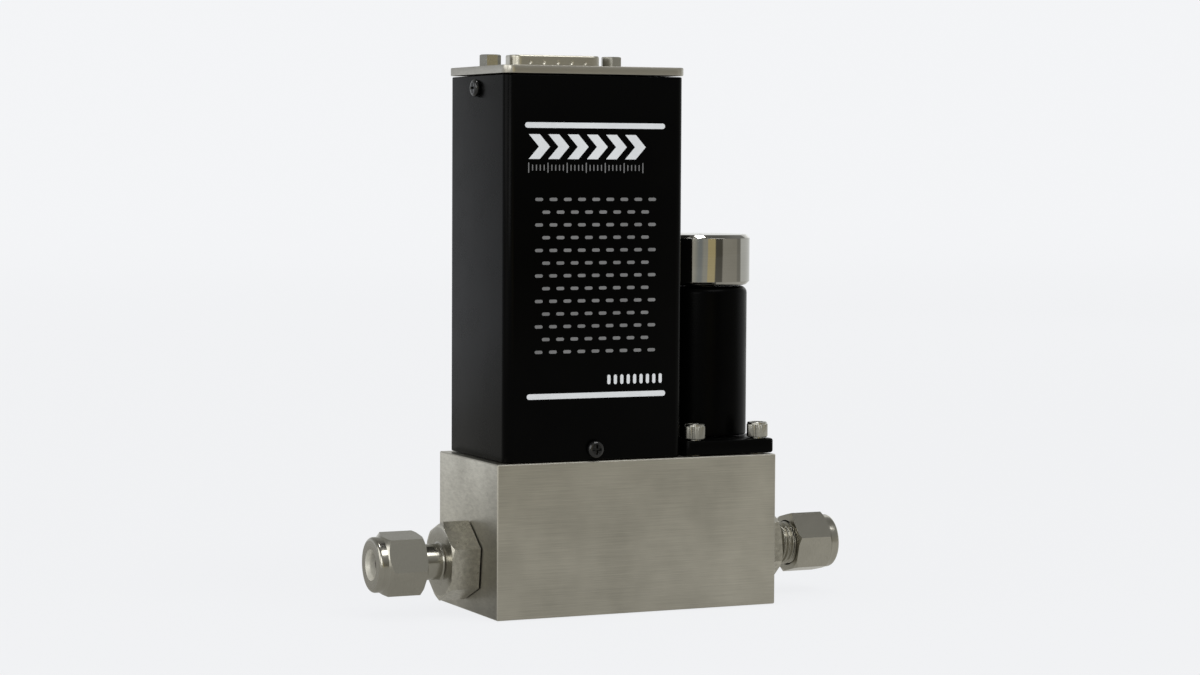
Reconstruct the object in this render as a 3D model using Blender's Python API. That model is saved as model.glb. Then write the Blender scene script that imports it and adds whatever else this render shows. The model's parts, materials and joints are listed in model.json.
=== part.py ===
"""Thermal mass flow controller for 6.35 mm gas tube, modelled in metres with +Z up.

The origin is the centre of the flow block's underside. Gas enters at -X and leaves at +X, and -Y is the
printed front of the electronics cover. Inside are the laminar flow restrictor, the bypass sensor with its
capillary tube, the circuit board and the solenoid valve with its spring-returned plunger.
"""

from math import cos, pi, radians, sin, tan

import bmesh
import bpy
from mathutils import Vector

# Clearance between pieces that seat on each other, and how far a cutter runs past a face
GAP = 0.0003
PAST = 0.001
SEAL_SIDE_PLAY = 0.0004

# Facets round large, middling and small turned forms
FINE_STEPS = 36
ROUND_STEPS = 24
SMALL_STEPS = 16
TINY_STEPS = 12

# Where shading turns sharp, and which edges a bevel takes
SMOOTH_LIMIT = radians(35.0)
BEVEL_LIMIT = radians(40.0)

# Flow block, a squared bar of stainless steel, as long as the cover and the valve on it need
BLOCK_DEPTH = 0.0381
BLOCK_HEIGHT = 0.0381
BLOCK_EDGE = 0.00025
MOUNTING_SPACING = 0.0381
MOUNTING_HOLE_RADIUS = 0.00175
MOUNTING_HOLE_DEPTH = 0.0055

# Gas ports and the drillings between them
PORT_HEIGHT = 0.0127
PORT_RADIUS = 0.0071
PORT_DEPTH = 0.0110
PORT_MOUTH_FLARE = 0.0013
PORT_MOUTH_DEPTH = 0.0024
RESTRICTOR_BORE_RADIUS = 0.0050
CHAMBER_RADIUS = 0.0036
CHAMBER_RUN = 0.0015
PASSAGE_RADIUS = 0.0014
TAP_RADIUS = 0.0009
TAP_SPACING = 0.0168

# Laminar flow restrictor with its seal
RESTRICTOR_LENGTH = 0.0120
RESTRICTOR_GROOVE_WIDTH = 0.0016
RESTRICTOR_GROOVE_INSET = 0.0018
RESTRICTOR_SEAL_SECTION = 0.0005
RESTRICTOR_CHANNEL_RADIUS = 0.0005
RESTRICTOR_CHANNEL_CIRCLE = 0.0020
RESTRICTOR_CHANNELS = 6

# Compression fitting bodies, measured outward from the block's end face
SHANK_LENGTH = 0.0096
RELIEF_LENGTH = 0.0024
RELIEF_STEP = 0.0009
BODY_HEX_FLATS = 0.01746
BODY_HEX_LENGTH = 0.0075
BODY_HEX_RIM = 0.00042
NECK_RADIUS = 0.00445
INLET_NECK_LENGTH = 0.0046
OUTLET_NECK_LENGTH = 0.0010
THREAD_RADIUS = 0.00555
THREAD_REACH = 0.0122
FLOW_BORE_RADIUS = 0.0024
SOCKET_RADIUS = 0.0033
SOCKET_DEPTH = 0.0050
SOCKET_CONE_DEPTH = 0.0024
SOCKET_MOUTH_RADIUS = 0.0046
SCREEN_RADIUS = 0.0042
SCREEN_THICKNESS = 0.0010
PORT_SEAL_SECTION = 0.0006
PORT_SEAL_INSET = 0.00036
HEX_CUTTER_SPREAD = 1.6
INLET_BODY_TURN = radians(52.5)
OUTLET_BODY_TURN = radians(50.0)

# Tube nuts and ferrules
TUBE_HOLE_RADIUS = 0.00325
TUBE_HOLE_FLARE = 0.00045
NUT_FLATS = 0.01429
NUT_LENGTH = 0.01235
NUT_STAND_OFF = 0.0055
NUT_INNER_RIM = 0.00025
NUT_OUTER_RIM = -0.0002
NUT_OUTER_BEVEL = radians(37.0)
NUT_COLLAR_RADIUS = 0.00685
NUT_COLLAR_LENGTH = 0.00245
NUT_ROUNDING = 0.0013
NUT_LIP = 0.00245
FERRULE_WALL = 0.00115
FRONT_FERRULE_REACH = 0.0011
FRONT_FERRULE_COLLAR = 0.0012
FERRULE_SEAT_RISE = 0.0011
FERRULE_BEVEL = 0.00065
FERRULE_BEVEL_RUN = 0.0005
FERRULE_PLAY = 0.00035
FERRULE_POCKET_PLAY = 0.00045
FERRULE_SEAT_PLAY = 0.0004
INLET_NUT_TURN = radians(22.0)
OUTLET_NUT_TURN = radians(16.0)

# Electronics cover, a drawn box open at both ends
COVER_WIDTH = 0.0480
COVER_SIDE_INSET = 0.0007
COVER_DEPTH = BLOCK_DEPTH - 2.0 * COVER_SIDE_INSET
COVER_HEIGHT = 0.0942
COVER_INSET = 0.0022
COVER_WALL = 0.0011
COVER_CORNER = 0.0023
PLATE_THICKNESS = 0.0020
PLATE_OVERHANG = 0.0004
PLATE_EDGE = 0.0002
LUG_THICKNESS = 0.0027
LUG_WIDTH = 0.0080
LUG_DROP = 0.0062

# Bracket that holds the cover's foot and the circuit board
BRACKET_END_INSET = 0.0020
BRACKET_LENGTH = COVER_WIDTH - 2.0 * BRACKET_END_INSET
BRACKET_SHEET = 0.0010
BRACKET_BEND = 0.0008
BRACKET_LUG_WIDTH = 0.0100
BRACKET_LUG_HEIGHT = 0.0062
BRACKET_TAB_HEIGHT = 0.0216
BRACKET_TAB_REACH = 0.0130
BRACKET_SCREW_INSET = 0.0037
BRACKET_SCREW_SPACING = BRACKET_LENGTH - 2.0 * BRACKET_SCREW_INSET

# Small pan-head screws of the cover, and those of the bracket and board
PAN_HEAD_RADIUS = 0.00215
PAN_HEAD_HEIGHT = 0.0011
PAN_HEAD_ROUNDING = 0.0006
PAN_SHANK_RADIUS = 0.0012
PAN_SHANK_LENGTH = 0.0038
PAN_CROSS_LENGTH = 0.0022
PAN_CROSS_WIDTH = 0.0005
PAN_CROSS_DEPTH = 0.0007
FOOT_SCREW_RISE = 0.0029
SIDE_SCREW_DROP = 0.0030
BRACKET_SCREW_LENGTH = 0.0050

# Connector with fifteen pins, its flange under the top plate
CONNECTOR_REAR_MARGIN = 0.0090
CONNECTOR_SETBACK = COVER_DEPTH / 2.0 - CONNECTOR_REAR_MARGIN
FRONT_PINS = 8
REAR_PINS = 7
PIN_PITCH = 0.00277
SHELL_END_MARGIN = 0.00293
SHELL_WIDTH = (FRONT_PINS - 1) * PIN_PITCH + 2.0 * SHELL_END_MARGIN
SHELL_DEPTH = 0.00836
SHELL_SLANT = radians(10.0)
SHELL_CORNER = 0.0024
SHELL_WALL = 0.0005
SHELL_RISE = 0.0056
JACKSCREW_STAND_OFF = 0.004025
JACKSCREW_SPACING = SHELL_WIDTH + 2.0 * JACKSCREW_STAND_OFF
CONNECTOR_FLANGE_END = 0.0029
CONNECTOR_FLANGE_WIDTH = JACKSCREW_SPACING + 2.0 * CONNECTOR_FLANGE_END
CONNECTOR_FLANGE_SIDE = 0.00207
CONNECTOR_FLANGE_DEPTH = SHELL_DEPTH + 2.0 * CONNECTOR_FLANGE_SIDE
CONNECTOR_FLANGE_SHEET = 0.0008
CONNECTOR_FLANGE_CORNER = 0.0010
INSERT_FACE_RISE = 0.0016
INSERT_BODY_END = 0.000175
INSERT_BODY_WIDTH = SHELL_WIDTH + 2.0 * INSERT_BODY_END
INSERT_BODY_SIDE = 0.00102
INSERT_BODY_DEPTH = SHELL_DEPTH + 2.0 * INSERT_BODY_SIDE
INSERT_BODY_HEIGHT = 0.0036
INSERT_BODY_CORNER = 0.0010
PIN_ROW_SPACING = 0.00284
PIN_RADIUS = 0.0005
PIN_TAIL_RADIUS = 0.0003
PIN_TAIL_LENGTH = 0.0037
PIN_SETBACK = 0.0007
JACKSCREW_FLATS = 0.00475
JACKSCREW_HEIGHT = 0.0030
JACKSCREW_SHANK_RADIUS = 0.0013
JACKSCREW_SHANK_LENGTH = 0.0062
JACKSCREW_HOLE_RADIUS = 0.00125
LEFT_JACKSCREW_TURN = radians(50.0)
RIGHT_JACKSCREW_TURN = radians(12.0)

# Circuit board and what it carries
BOARD_WIDTH = 0.0352
BOARD_HEIGHT = 0.0740
BOARD_THICKNESS = 0.0016
BOARD_HOLE_INSET = 0.0080
BOARD_SCREW_RISE = 0.0040
STANDOFF_RADIUS = 0.0022
CHIP_SIDE = 0.0100
CHIP_THICKNESS = 0.0016
CHIP_EDGE = 0.0002
CHIP_RISE = 0.0420
LEAD_SOCKET_WIDTH = 0.0080
LEAD_SOCKET_DEPTH = 0.0050
LEAD_SOCKET_HEIGHT = 0.0060
LEAD_SOCKET_SHIFT = 0.0110
LEAD_SOCKET_RISE = 0.0135

# Thermal flow sensor on top of the block
SENSOR_BASE_WIDTH = 0.0260
SENSOR_BASE_DEPTH = 0.0180
SENSOR_BASE_HEIGHT = 0.0046
SENSOR_TUBE_RADIUS = 0.00045
SENSOR_TUBE_BORE = 0.0002
SENSOR_TUBE_RISE = 0.0150
SENSOR_BEND_RADIUS = 0.0022
WINDING_RADIUS = 0.0015
WINDING_LENGTH = 0.0050
WINDING_SPACING = 0.0064
SENSOR_COVER_WIDTH = 0.0220
SENSOR_COVER_DEPTH = 0.0072
SENSOR_COVER_HEIGHT = 0.0190
SENSOR_COVER_WALL = 0.0009
SENSOR_COVER_CORNER = 0.0014
SENSOR_SEAL_RADIUS = 0.0019
SENSOR_SEAL_SECTION = 0.00045
SENSOR_SEAL_POCKET = 0.0011
SENSOR_SCREW_SPACING = 0.0128
SENSOR_SCREW_RADIUS = 0.0015
SENSOR_SCREW_LENGTH = 0.0105
SENSOR_HEAD_RADIUS = 0.0024
SENSOR_HEAD_HEIGHT = 0.0026
SENSOR_LEAD_RADIUS = 0.0006
SENSOR_LEAD_REACH = 0.0017
SENSOR_LEAD_RISE = 0.0008

# Valve flange with its four cap screws
FLANGE_WIDTH = 0.0247
FLANGE_SIDE_INSET = 0.00085
FLANGE_DEPTH = BLOCK_DEPTH - 2.0 * FLANGE_SIDE_INSET
FLANGE_THICKNESS = 0.0036
FLANGE_CORNER = 0.0020
FLANGE_EDGE = 0.0005
FLANGE_SCREW_INSET_X = 0.0035
FLANGE_SCREW_INSET_Y = 0.0028
FLANGE_SCREW_PITCH_X = FLANGE_WIDTH - 2.0 * FLANGE_SCREW_INSET_X
FLANGE_SCREW_PITCH_Y = FLANGE_DEPTH - 2.0 * FLANGE_SCREW_INSET_Y
FLANGE_SCREW_RADIUS = 0.0017
FLANGE_SCREW_REACH = 0.0072
CAP_HEAD_RADIUS = 0.00265
CAP_HEAD_HEIGHT = 0.0038
CAP_EDGE = 0.0003
CAP_SOCKET_FLATS = 0.0028
CAP_SOCKET_DEPTH = 0.0020

# Valve stem, plunger, spring and orifice
STEM_RADIUS = 0.00475
STEM_COLLAR_RADIUS = 0.0093
STEM_COLLAR_HEIGHT = 0.0042
STEM_BORE_RADIUS = 0.0036
STEM_BORE_HEIGHT = 0.0221
STEM_STUD_RADIUS = 0.0038
STEM_STUD_LENGTH = 0.0115
STEM_SEAL_RADIUS = 0.0080
STEM_SEAL_SECTION = 0.00045
CAVITY_RADIUS = 0.0063
CAVITY_DEPTH = 0.0060
FEED_OFFSET = 0.0048
FEED_RADIUS = 0.0012
OUTLET_DROP_RADIUS = 0.0013
ORIFICE_RADIUS = 0.0029
ORIFICE_HEIGHT = 0.0039
ORIFICE_NOSE_RADIUS = 0.0017
ORIFICE_LAND_RADIUS = 0.00135
ORIFICE_NOSE_HEIGHT = 0.0010
ORIFICE_BORE_RADIUS = 0.0006
ORIFICE_SEAL_SECTION = 0.0004
PLUNGER_HEIGHT = 0.0180
PLUNGER_FOOT = 0.0004
PLUNGER_GUIDE_RADIUS = 0.0014
PLUNGER_AIR_GAP = 0.0008
SEAT_RADIUS = 0.0019
SEAT_THICKNESS = 0.0014
SPRING_RADIUS = 0.0024
SPRING_WIRE_RADIUS = 0.0003
SPRING_TURNS = 6
SPRING_STEPS = 8

# Solenoid coil, its can and the round nut on top
COIL_INSET = 0.0003
COIL_RADIUS = FLANGE_WIDTH / 2.0 - COIL_INSET
COIL_HEIGHT = 0.0379
COIL_WALL = 0.0013
COIL_TOP = 0.0020
COIL_SHOULDER = 0.0018
BOBBIN_WALL = 0.0010
BOBBIN_PLAY = 0.00045
BOBBIN_FLANGE_RADIUS = COIL_RADIUS - COIL_WALL - BOBBIN_PLAY
BOBBIN_FLANGE_THICKNESS = 0.0012
WINDING_INSET = 0.0004
COIL_WINDING_RADIUS = BOBBIN_FLANGE_RADIUS - WINDING_INSET
ROUND_NUT_OVERHANG = 0.00065
ROUND_NUT_RADIUS = COIL_RADIUS + ROUND_NUT_OVERHANG
COVER_TO_NUT = 0.00095
ROUND_NUT_HEIGHT = 0.0128
ROUND_NUT_CHAMFER = 0.0009
COIL_LEAD_RADIUS = 0.0009
COIL_LEAD_RISE = 0.0057
COIL_LEAD_STRAIGHT = 0.0035
COIL_LEAD_TURN = 0.0030
COIL_LEAD_LIFT = 0.0028
COIL_LEAD_DROP = 0.0045
LEAD_SWING = 0.0012
LEAD_SPLAY = 0.0006
LEAD_STRAIGHT_END = 0.0016
COIL_LEAD_SPACING = 0.0016
SENSOR_LEAD_SPACING = 0.0012
GROMMET_FLANGE = 0.0007
GROMMET_FLANGE_THICKNESS = 0.0006
GROMMET_WALL = 0.0008

# Places that follow from the sizes above
BLOCK_LENGTH = COVER_INSET + COVER_WIDTH + COVER_TO_NUT + ROUND_NUT_RADIUS + FLANGE_WIDTH / 2.0
COVER_X = -BLOCK_LENGTH / 2 + COVER_INSET + COVER_WIDTH / 2
COVER_FOOT = BLOCK_HEIGHT + GAP
COVER_TOP = COVER_FOOT + COVER_HEIGHT
PLATE_FOOT = COVER_TOP + GAP
PLATE_TOP = PLATE_FOOT + PLATE_THICKNESS
COVER_LEFT = COVER_X - COVER_WIDTH / 2
COVER_RIGHT = COVER_X + COVER_WIDTH / 2
VALVE_X = BLOCK_LENGTH / 2 - FLANGE_WIDTH / 2
FLANGE_FOOT = BLOCK_HEIGHT + GAP
FLANGE_TOP = FLANGE_FOOT + FLANGE_THICKNESS
COIL_FOOT = FLANGE_TOP + GAP
COIL_CROWN = COIL_FOOT + COIL_HEIGHT
BODY_HEX_START = GAP
BODY_HEX_END = BODY_HEX_START + BODY_HEX_LENGTH
NUT_START = BODY_HEX_END + NUT_STAND_OFF
NUT_END = NUT_START + NUT_LENGTH
THREAD_END = BODY_HEX_END + THREAD_REACH
CONNECTOR_TOP = PLATE_FOOT - GAP
CONNECTOR_FOOT = CONNECTOR_TOP - CONNECTOR_FLANGE_SHEET
INSERT_FOOT = CONNECTOR_FOOT - GAP - INSERT_BODY_HEIGHT
BOARD_TOP = INSERT_FOOT - GAP
BOARD_FOOT = BOARD_TOP - BOARD_HEIGHT
BOARD_FRONT = CONNECTOR_SETBACK - BOARD_THICKNESS / 2
BOARD_BACK = CONNECTOR_SETBACK + BOARD_THICKNESS / 2
SENSOR_FOOT = BLOCK_HEIGHT + GAP
SENSOR_DECK = SENSOR_FOOT + SENSOR_BASE_HEIGHT
SENSOR_TUBE_TOP = SENSOR_DECK + SENSOR_TUBE_RISE
BRACKET_HALF_DEPTH = COVER_DEPTH / 2 - COVER_WALL - GAP
COLLAR_FLOOR = BLOCK_HEIGHT - STEM_COLLAR_HEIGHT - GAP
CAVITY_FLOOR = COLLAR_FLOOR - CAVITY_DEPTH
ORIFICE_FOOT = CAVITY_FLOOR - ORIFICE_HEIGHT
POCKET_FLOOR = ORIFICE_FOOT - GAP
SEAT_FOOT = CAVITY_FLOOR + ORIFICE_NOSE_HEIGHT + GAP
PLUNGER_RADIUS = STEM_BORE_RADIUS - GAP
PLUNGER_BASE = SEAT_FOOT + PLUNGER_FOOT
PLUNGER_SHOULDER = PLUNGER_BASE + PLUNGER_HEIGHT
POLE_FACE = COLLAR_FLOOR + GAP + STEM_BORE_HEIGHT
COIL_LEAD_Z = COIL_FOOT + COIL_LEAD_RISE

# Colour, roughness and metallic value of each finish
FINISHES = {
    "brushed_stainless": ((0.24, 0.23, 0.19), 0.38, 1.0),
    "turned_stainless": ((0.30, 0.28, 0.24), 0.30, 1.0),
    "polished_steel": ((0.55, 0.53, 0.48), 0.08, 1.0),
    "plated_steel": ((0.50, 0.48, 0.38), 0.25, 1.0),
    "black_satin_paint": ((0.012, 0.012, 0.011), 0.45, 0.0),
    "blackened_steel": ((0.02, 0.02, 0.02), 0.40, 0.6),
    "satin_aluminium": ((0.42, 0.42, 0.38), 0.35, 1.0),
    "black_plastic": ((0.015, 0.015, 0.016), 0.50, 0.0),
    "white_plastic": ((0.75, 0.74, 0.68), 0.45, 0.0),
    "green_board": ((0.02, 0.14, 0.06), 0.40, 0.0),
    "copper_wire": ((0.55, 0.22, 0.10), 0.35, 1.0),
    "amber_coating": ((0.40, 0.20, 0.05), 0.35, 0.0),
    "seal_rubber": ((0.02, 0.02, 0.022), 0.65, 0.0),
}


def clear_scene():
    """Remove whatever objects the file opened with."""
    for item in list(bpy.data.objects):
        bpy.data.objects.remove(item, do_unlink=True)


def coloured(name, finish):
    """Give one object its own Principled material in a named finish."""
    colour, roughness, metallic = FINISHES[finish]
    material = bpy.data.materials.new(name + "_" + finish)
    material.use_nodes = True
    shader = material.node_tree.nodes["Principled BSDF"]
    shader.inputs["Base Color"].default_value = (*colour, 1.0)
    shader.inputs["Roughness"].default_value = roughness
    shader.inputs["Metallic"].default_value = metallic
    return material


def solid(name, shape, finish):
    """Turn a finished bmesh into a linked object with its material and smooth round faces."""
    bmesh.ops.recalc_face_normals(shape, faces=shape.faces)
    mesh = bpy.data.meshes.new(name)
    shape.to_mesh(mesh)
    shape.free()
    mesh.shade_smooth()
    mesh.set_sharp_from_angle(angle=SMOOTH_LIMIT)
    mesh.materials.append(coloured(name, finish))
    item = bpy.data.objects.new(name, mesh)
    bpy.context.scene.collection.objects.link(item)
    return item


def placed(item, location, rotation=(0.0, 0.0, 0.0)):
    """Put an object at its place and turn, and hand it back."""
    item.location = location
    item.rotation_euler = rotation
    return item


def ring_of_points(shape, radius, height, steps):
    """One circle of a turned form, or its single point where the section meets the axis."""
    if radius <= 0.0:
        return [shape.verts.new((0.0, 0.0, height))]
    turns = [2.0 * pi * i / steps for i in range(steps)]
    return [shape.verts.new((radius * cos(t), radius * sin(t), height)) for t in turns]


def join_rings(shape, lower, upper):
    """Faces between two neighbouring circles, either of which may be a single point on the axis."""
    steps = max(len(lower), len(upper))
    if steps == 1:
        return
    if min(len(lower), len(upper)) == 1 and abs(lower[0].co.z - upper[0].co.z) < GAP / 100.0:
        shape.faces.new(max(lower, upper, key=len))
        return
    for i in range(steps):
        j = (i + 1) % steps
        corners = (lower[i % len(lower)], lower[j % len(lower)], upper[j % len(upper)], upper[i % len(upper)])
        distinct = list(dict.fromkeys(corners))
        if len(distinct) > 2:
            shape.faces.new(distinct)


def turned(name, section, finish, steps=ROUND_STEPS):
    """Revolve a closed section of (radius, height) points about local Z."""
    shape = bmesh.new()
    rings = [ring_of_points(shape, radius, height, steps) for radius, height in section]
    for lower, upper in zip(rings, rings[1:] + rings[:1]):
        join_rings(shape, lower, upper)
    unused = [point for point in shape.verts if not point.link_faces]
    bmesh.ops.delete(shape, geom=unused, context="VERTS")
    return solid(name, shape, finish)


def rounded(corners, steps=3):
    """Outline through (x, y, radius) corners, with an arc tangent to both sides at each rounded one."""
    points = []
    for i, (x, y, radius) in enumerate(corners):
        here = Vector((x, y))
        if radius <= 0.0:
            points.append((x, y))
            continue
        before = (Vector(corners[i - 1][:2]) - here).normalized()
        after = (Vector(corners[(i + 1) % len(corners)][:2]) - here).normalized()
        half = before.angle(after) / 2.0
        centre = here + (before + after).normalized() * radius / sin(half)
        first = here + before * radius / tan(half) - centre
        last = here + after * radius / tan(half) - centre
        sweep = pi - 2.0 * half
        for k in range(steps + 1):
            share = k / steps
            spoke = (first * sin((1.0 - share) * sweep) + last * sin(share * sweep)) / sin(sweep)
            points.append(tuple(centre + spoke))
    return points


def rectangle(width, depth, corner=0.0):
    """Corners of a centred rectangle, ready for rounding."""
    x, y = width / 2.0, depth / 2.0
    return [(-x, -y, corner), (x, -y, corner), (x, y, corner), (-x, y, corner)]


def extruded(name, outline, start, end, finish, axis="Z"):
    """Carry a closed outline from start to end along one axis."""
    place = {
        "X": lambda a, b, h: (h, a, b),
        "Y": lambda a, b, h: (a, h, b),
        "Z": lambda a, b, h: (a, b, h),
    }[axis]
    shape = bmesh.new()
    ends = [[shape.verts.new(place(a, b, h)) for a, b in outline] for h in (start, end)]
    join_rings(shape, *ends)
    for ring in ends:
        shape.faces.new(ring)
    return solid(name, shape, finish)


def block_shape(name, size, centre, finish):
    """A plain rectangular solid about its centre."""
    outline = [(x, y) for x, y, _ in rectangle(size[0], size[1])]
    return placed(extruded(name, outline, -size[2] / 2.0, size[2] / 2.0, finish), centre)


def swept(name, path, radius, finish, sides=8, bore=0.0):
    """A round rod or tube along a list of points, with frames carried along the path unturned."""
    points = [Vector(p) for p in path]
    tangents = [(points[min(i + 1, len(points) - 1)] - points[max(i - 1, 0)]).normalized()
                for i in range(len(points))]
    normal = tangents[0].orthogonal().normalized()
    shape = bmesh.new()
    outer = []
    inner = []
    for point, tangent in zip(points, tangents):
        normal = (normal - tangent * normal.dot(tangent)).normalized()
        side = tangent.cross(normal)
        spokes = [normal * cos(2 * pi * k / sides) + side * sin(2 * pi * k / sides) for k in range(sides)]
        outer.append([shape.verts.new(point + spoke * radius) for spoke in spokes])
        if bore > 0.0:
            inner.append([shape.verts.new(point + spoke * bore) for spoke in spokes])
    for wall in (outer, inner):
        for lower, upper in zip(wall, wall[1:]):
            join_rings(shape, lower, upper)
    for last in (0, -1):
        if bore > 0.0:
            join_rings(shape, outer[last], inner[last])
        else:
            shape.faces.new(outer[last])
    return solid(name, shape, finish)


def smooth_route(corners, spacing):
    """Points at an even spacing on a Catmull-Rom curve through the corners."""
    knots = [Vector(c) for c in corners]
    knots = [2 * knots[0] - knots[1]] + knots + [2 * knots[-1] - knots[-2]]
    route = []
    for a, b, c, d in zip(knots, knots[1:], knots[2:], knots[3:]):
        count = max(2, round((c - b).length / spacing))
        for k in range(count):
            t = k / count
            route.append(0.5 * (2 * b + (c - a) * t + (2 * a - 5 * b + 4 * c - d) * t ** 2
                                + (3 * b - a - 3 * c + d) * t ** 3))
    return route + [knots[-2]]


def combine(body, tools, operation):
    """Keep live Boolean modifiers on the body, one for each hidden tool."""
    for tool in tools:
        tool.hide_render = True
        tool.display_type = "WIRE"
        step = body.modifiers.new(tool.name, "BOOLEAN")
        step.operation = operation
        step.object = tool
    return body


def cut(body, *tools):
    """Take the tools' volumes out of the body."""
    return combine(body, tools, "DIFFERENCE")


def join(body, *tools):
    """Add the tools' volumes to the body."""
    return combine(body, tools, "UNION")


def broken_edges(item, width, segments=1):
    """Bevel an object's sharp edges."""
    bevel = item.modifiers.new("edges", "BEVEL")
    bevel.width = width
    bevel.segments = segments
    bevel.limit_method = "ANGLE"
    bevel.angle_limit = BEVEL_LIMIT
    return item


def drill(name, radius, start, end, location, rotation=(0.0, 0.0, 0.0), steps=TINY_STEPS):
    """A round cutter along local Z."""
    section = [(0.0, start), (radius, start), (radius, end), (0.0, end)]
    return placed(turned(name, section, "turned_stainless", steps), location, rotation)


def hex_flats(name, flats, start, end, location, rotation, turn):
    """A ring cutter with a hexagonal hole, which mills six flats on a turned blank."""
    inside = flats / 2.0 / cos(pi / 6.0)
    outside = inside * HEX_CUTTER_SPREAD
    shape = bmesh.new()
    rings = []
    for radius, height in ((inside, start), (outside, start), (outside, end), (inside, end)):
        turns = [turn + pi * k / 3.0 for k in range(6)]
        rings.append([shape.verts.new((radius * cos(t), radius * sin(t), height)) for t in turns])
    for lower, upper in zip(rings, rings[1:] + rings[:1]):
        join_rings(shape, lower, upper)
    return placed(solid(name, shape, "turned_stainless"), location, rotation)


def seal_ring(name, radius, section, height, location, rotation=(0.0, 0.0, 0.0)):
    """An O-ring about local Z."""
    turns = [pi * k / 3.0 for k in range(6)]
    outline = [(radius + section * cos(t), height + section * sin(t)) for t in turns]
    return placed(turned(name, outline, "seal_rubber", TINY_STEPS), location, rotation)


FACING_INLET = (0.0, -pi / 2.0, 0.0)
FACING_OUTLET = (0.0, pi / 2.0, 0.0)
INLET_FACE = (-BLOCK_LENGTH / 2.0, 0.0, PORT_HEIGHT)
OUTLET_FACE = (BLOCK_LENGTH / 2.0, 0.0, PORT_HEIGHT)
TAP_PLACES = (COVER_X - TAP_SPACING / 2.0, COVER_X + TAP_SPACING / 2.0)
BRACKET_SCREW_PLACES = (COVER_X - BRACKET_SCREW_SPACING / 2.0, COVER_X + BRACKET_SCREW_SPACING / 2.0)


def inlet_drilling():
    """Inlet port, restrictor bore, chamber and main passage as one stepped drilling towards +X."""
    face = -BLOCK_LENGTH / 2.0
    seat = COVER_X + RESTRICTOR_LENGTH / 2.0 + GAP - face
    chamber_end = TAP_PLACES[1] + TAP_RADIUS + CHAMBER_RUN - face
    passage_end = VALVE_X - FEED_OFFSET + PASSAGE_RADIUS - face
    mouth = PORT_RADIUS + PORT_MOUTH_FLARE
    section = [
        (0.0, -PAST), (mouth, -PAST), (mouth, 0.0), (PORT_RADIUS, PORT_MOUTH_DEPTH),
        (PORT_RADIUS, PORT_DEPTH), (RESTRICTOR_BORE_RADIUS, PORT_DEPTH),
        (RESTRICTOR_BORE_RADIUS, seat), (CHAMBER_RADIUS, seat), (CHAMBER_RADIUS, chamber_end),
        (PASSAGE_RADIUS, chamber_end), (PASSAGE_RADIUS, passage_end), (0.0, passage_end),
    ]
    return placed(turned("cut_inlet_drilling", section, "turned_stainless"), INLET_FACE, FACING_OUTLET)


def outlet_drilling():
    """Outlet port and the short passage under the valve, drilled towards -X."""
    passage_end = BLOCK_LENGTH / 2.0 - VALVE_X + PASSAGE_RADIUS
    mouth = PORT_RADIUS + PORT_MOUTH_FLARE
    section = [
        (0.0, -PAST), (mouth, -PAST), (mouth, 0.0), (PORT_RADIUS, PORT_MOUTH_DEPTH),
        (PORT_RADIUS, PORT_DEPTH), (PASSAGE_RADIUS, PORT_DEPTH), (PASSAGE_RADIUS, passage_end),
        (0.0, passage_end),
    ]
    return placed(turned("cut_outlet_drilling", section, "turned_stainless"), OUTLET_FACE, FACING_INLET)


def valve_well():
    """Collar counterbore with its seal groove, valve cavity, orifice pocket and drop to the outlet."""
    collar = STEM_COLLAR_RADIUS + GAP
    pocket = ORIFICE_RADIUS + GAP
    top = BLOCK_HEIGHT + PAST
    reach = STEM_SEAL_SECTION + SEAL_SIDE_PLAY
    groove_floor = COLLAR_FLOOR - 2.0 * STEM_SEAL_SECTION - GAP
    inner, outer = STEM_SEAL_RADIUS - reach, STEM_SEAL_RADIUS + reach
    section = [
        (0.0, PORT_HEIGHT), (OUTLET_DROP_RADIUS, PORT_HEIGHT), (OUTLET_DROP_RADIUS, POCKET_FLOOR),
        (pocket, POCKET_FLOOR), (pocket, CAVITY_FLOOR), (CAVITY_RADIUS, CAVITY_FLOOR),
        (CAVITY_RADIUS, COLLAR_FLOOR), (inner, COLLAR_FLOOR), (inner, groove_floor), (outer, groove_floor),
        (outer, COLLAR_FLOOR), (collar, COLLAR_FLOOR), (collar, top), (0.0, top),
    ]
    return placed(turned("cut_valve_well", section, "turned_stainless"), (VALVE_X, 0.0, 0.0))


def sensor_tap(name, x):
    """A drop from the block's top into the flow path, with a pocket for its seal."""
    pocket_radius = SENSOR_SEAL_RADIUS + SENSOR_SEAL_SECTION + GAP
    pocket_floor = BLOCK_HEIGHT - SENSOR_SEAL_POCKET
    top = BLOCK_HEIGHT + PAST
    section = [
        (0.0, PORT_HEIGHT), (TAP_RADIUS, PORT_HEIGHT), (TAP_RADIUS, pocket_floor),
        (pocket_radius, pocket_floor), (pocket_radius, top), (0.0, top),
    ]
    return placed(turned(name, section, "turned_stainless", TINY_STEPS), (x, 0.0, 0.0))


def flange_screw_places():
    """The four corners of the valve flange's screw pattern."""
    half_x, half_y = FLANGE_SCREW_PITCH_X / 2.0, FLANGE_SCREW_PITCH_Y / 2.0
    return [(VALVE_X + sx * half_x, sy * half_y) for sy in (-1, 1) for sx in (-1, 1)]


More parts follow.
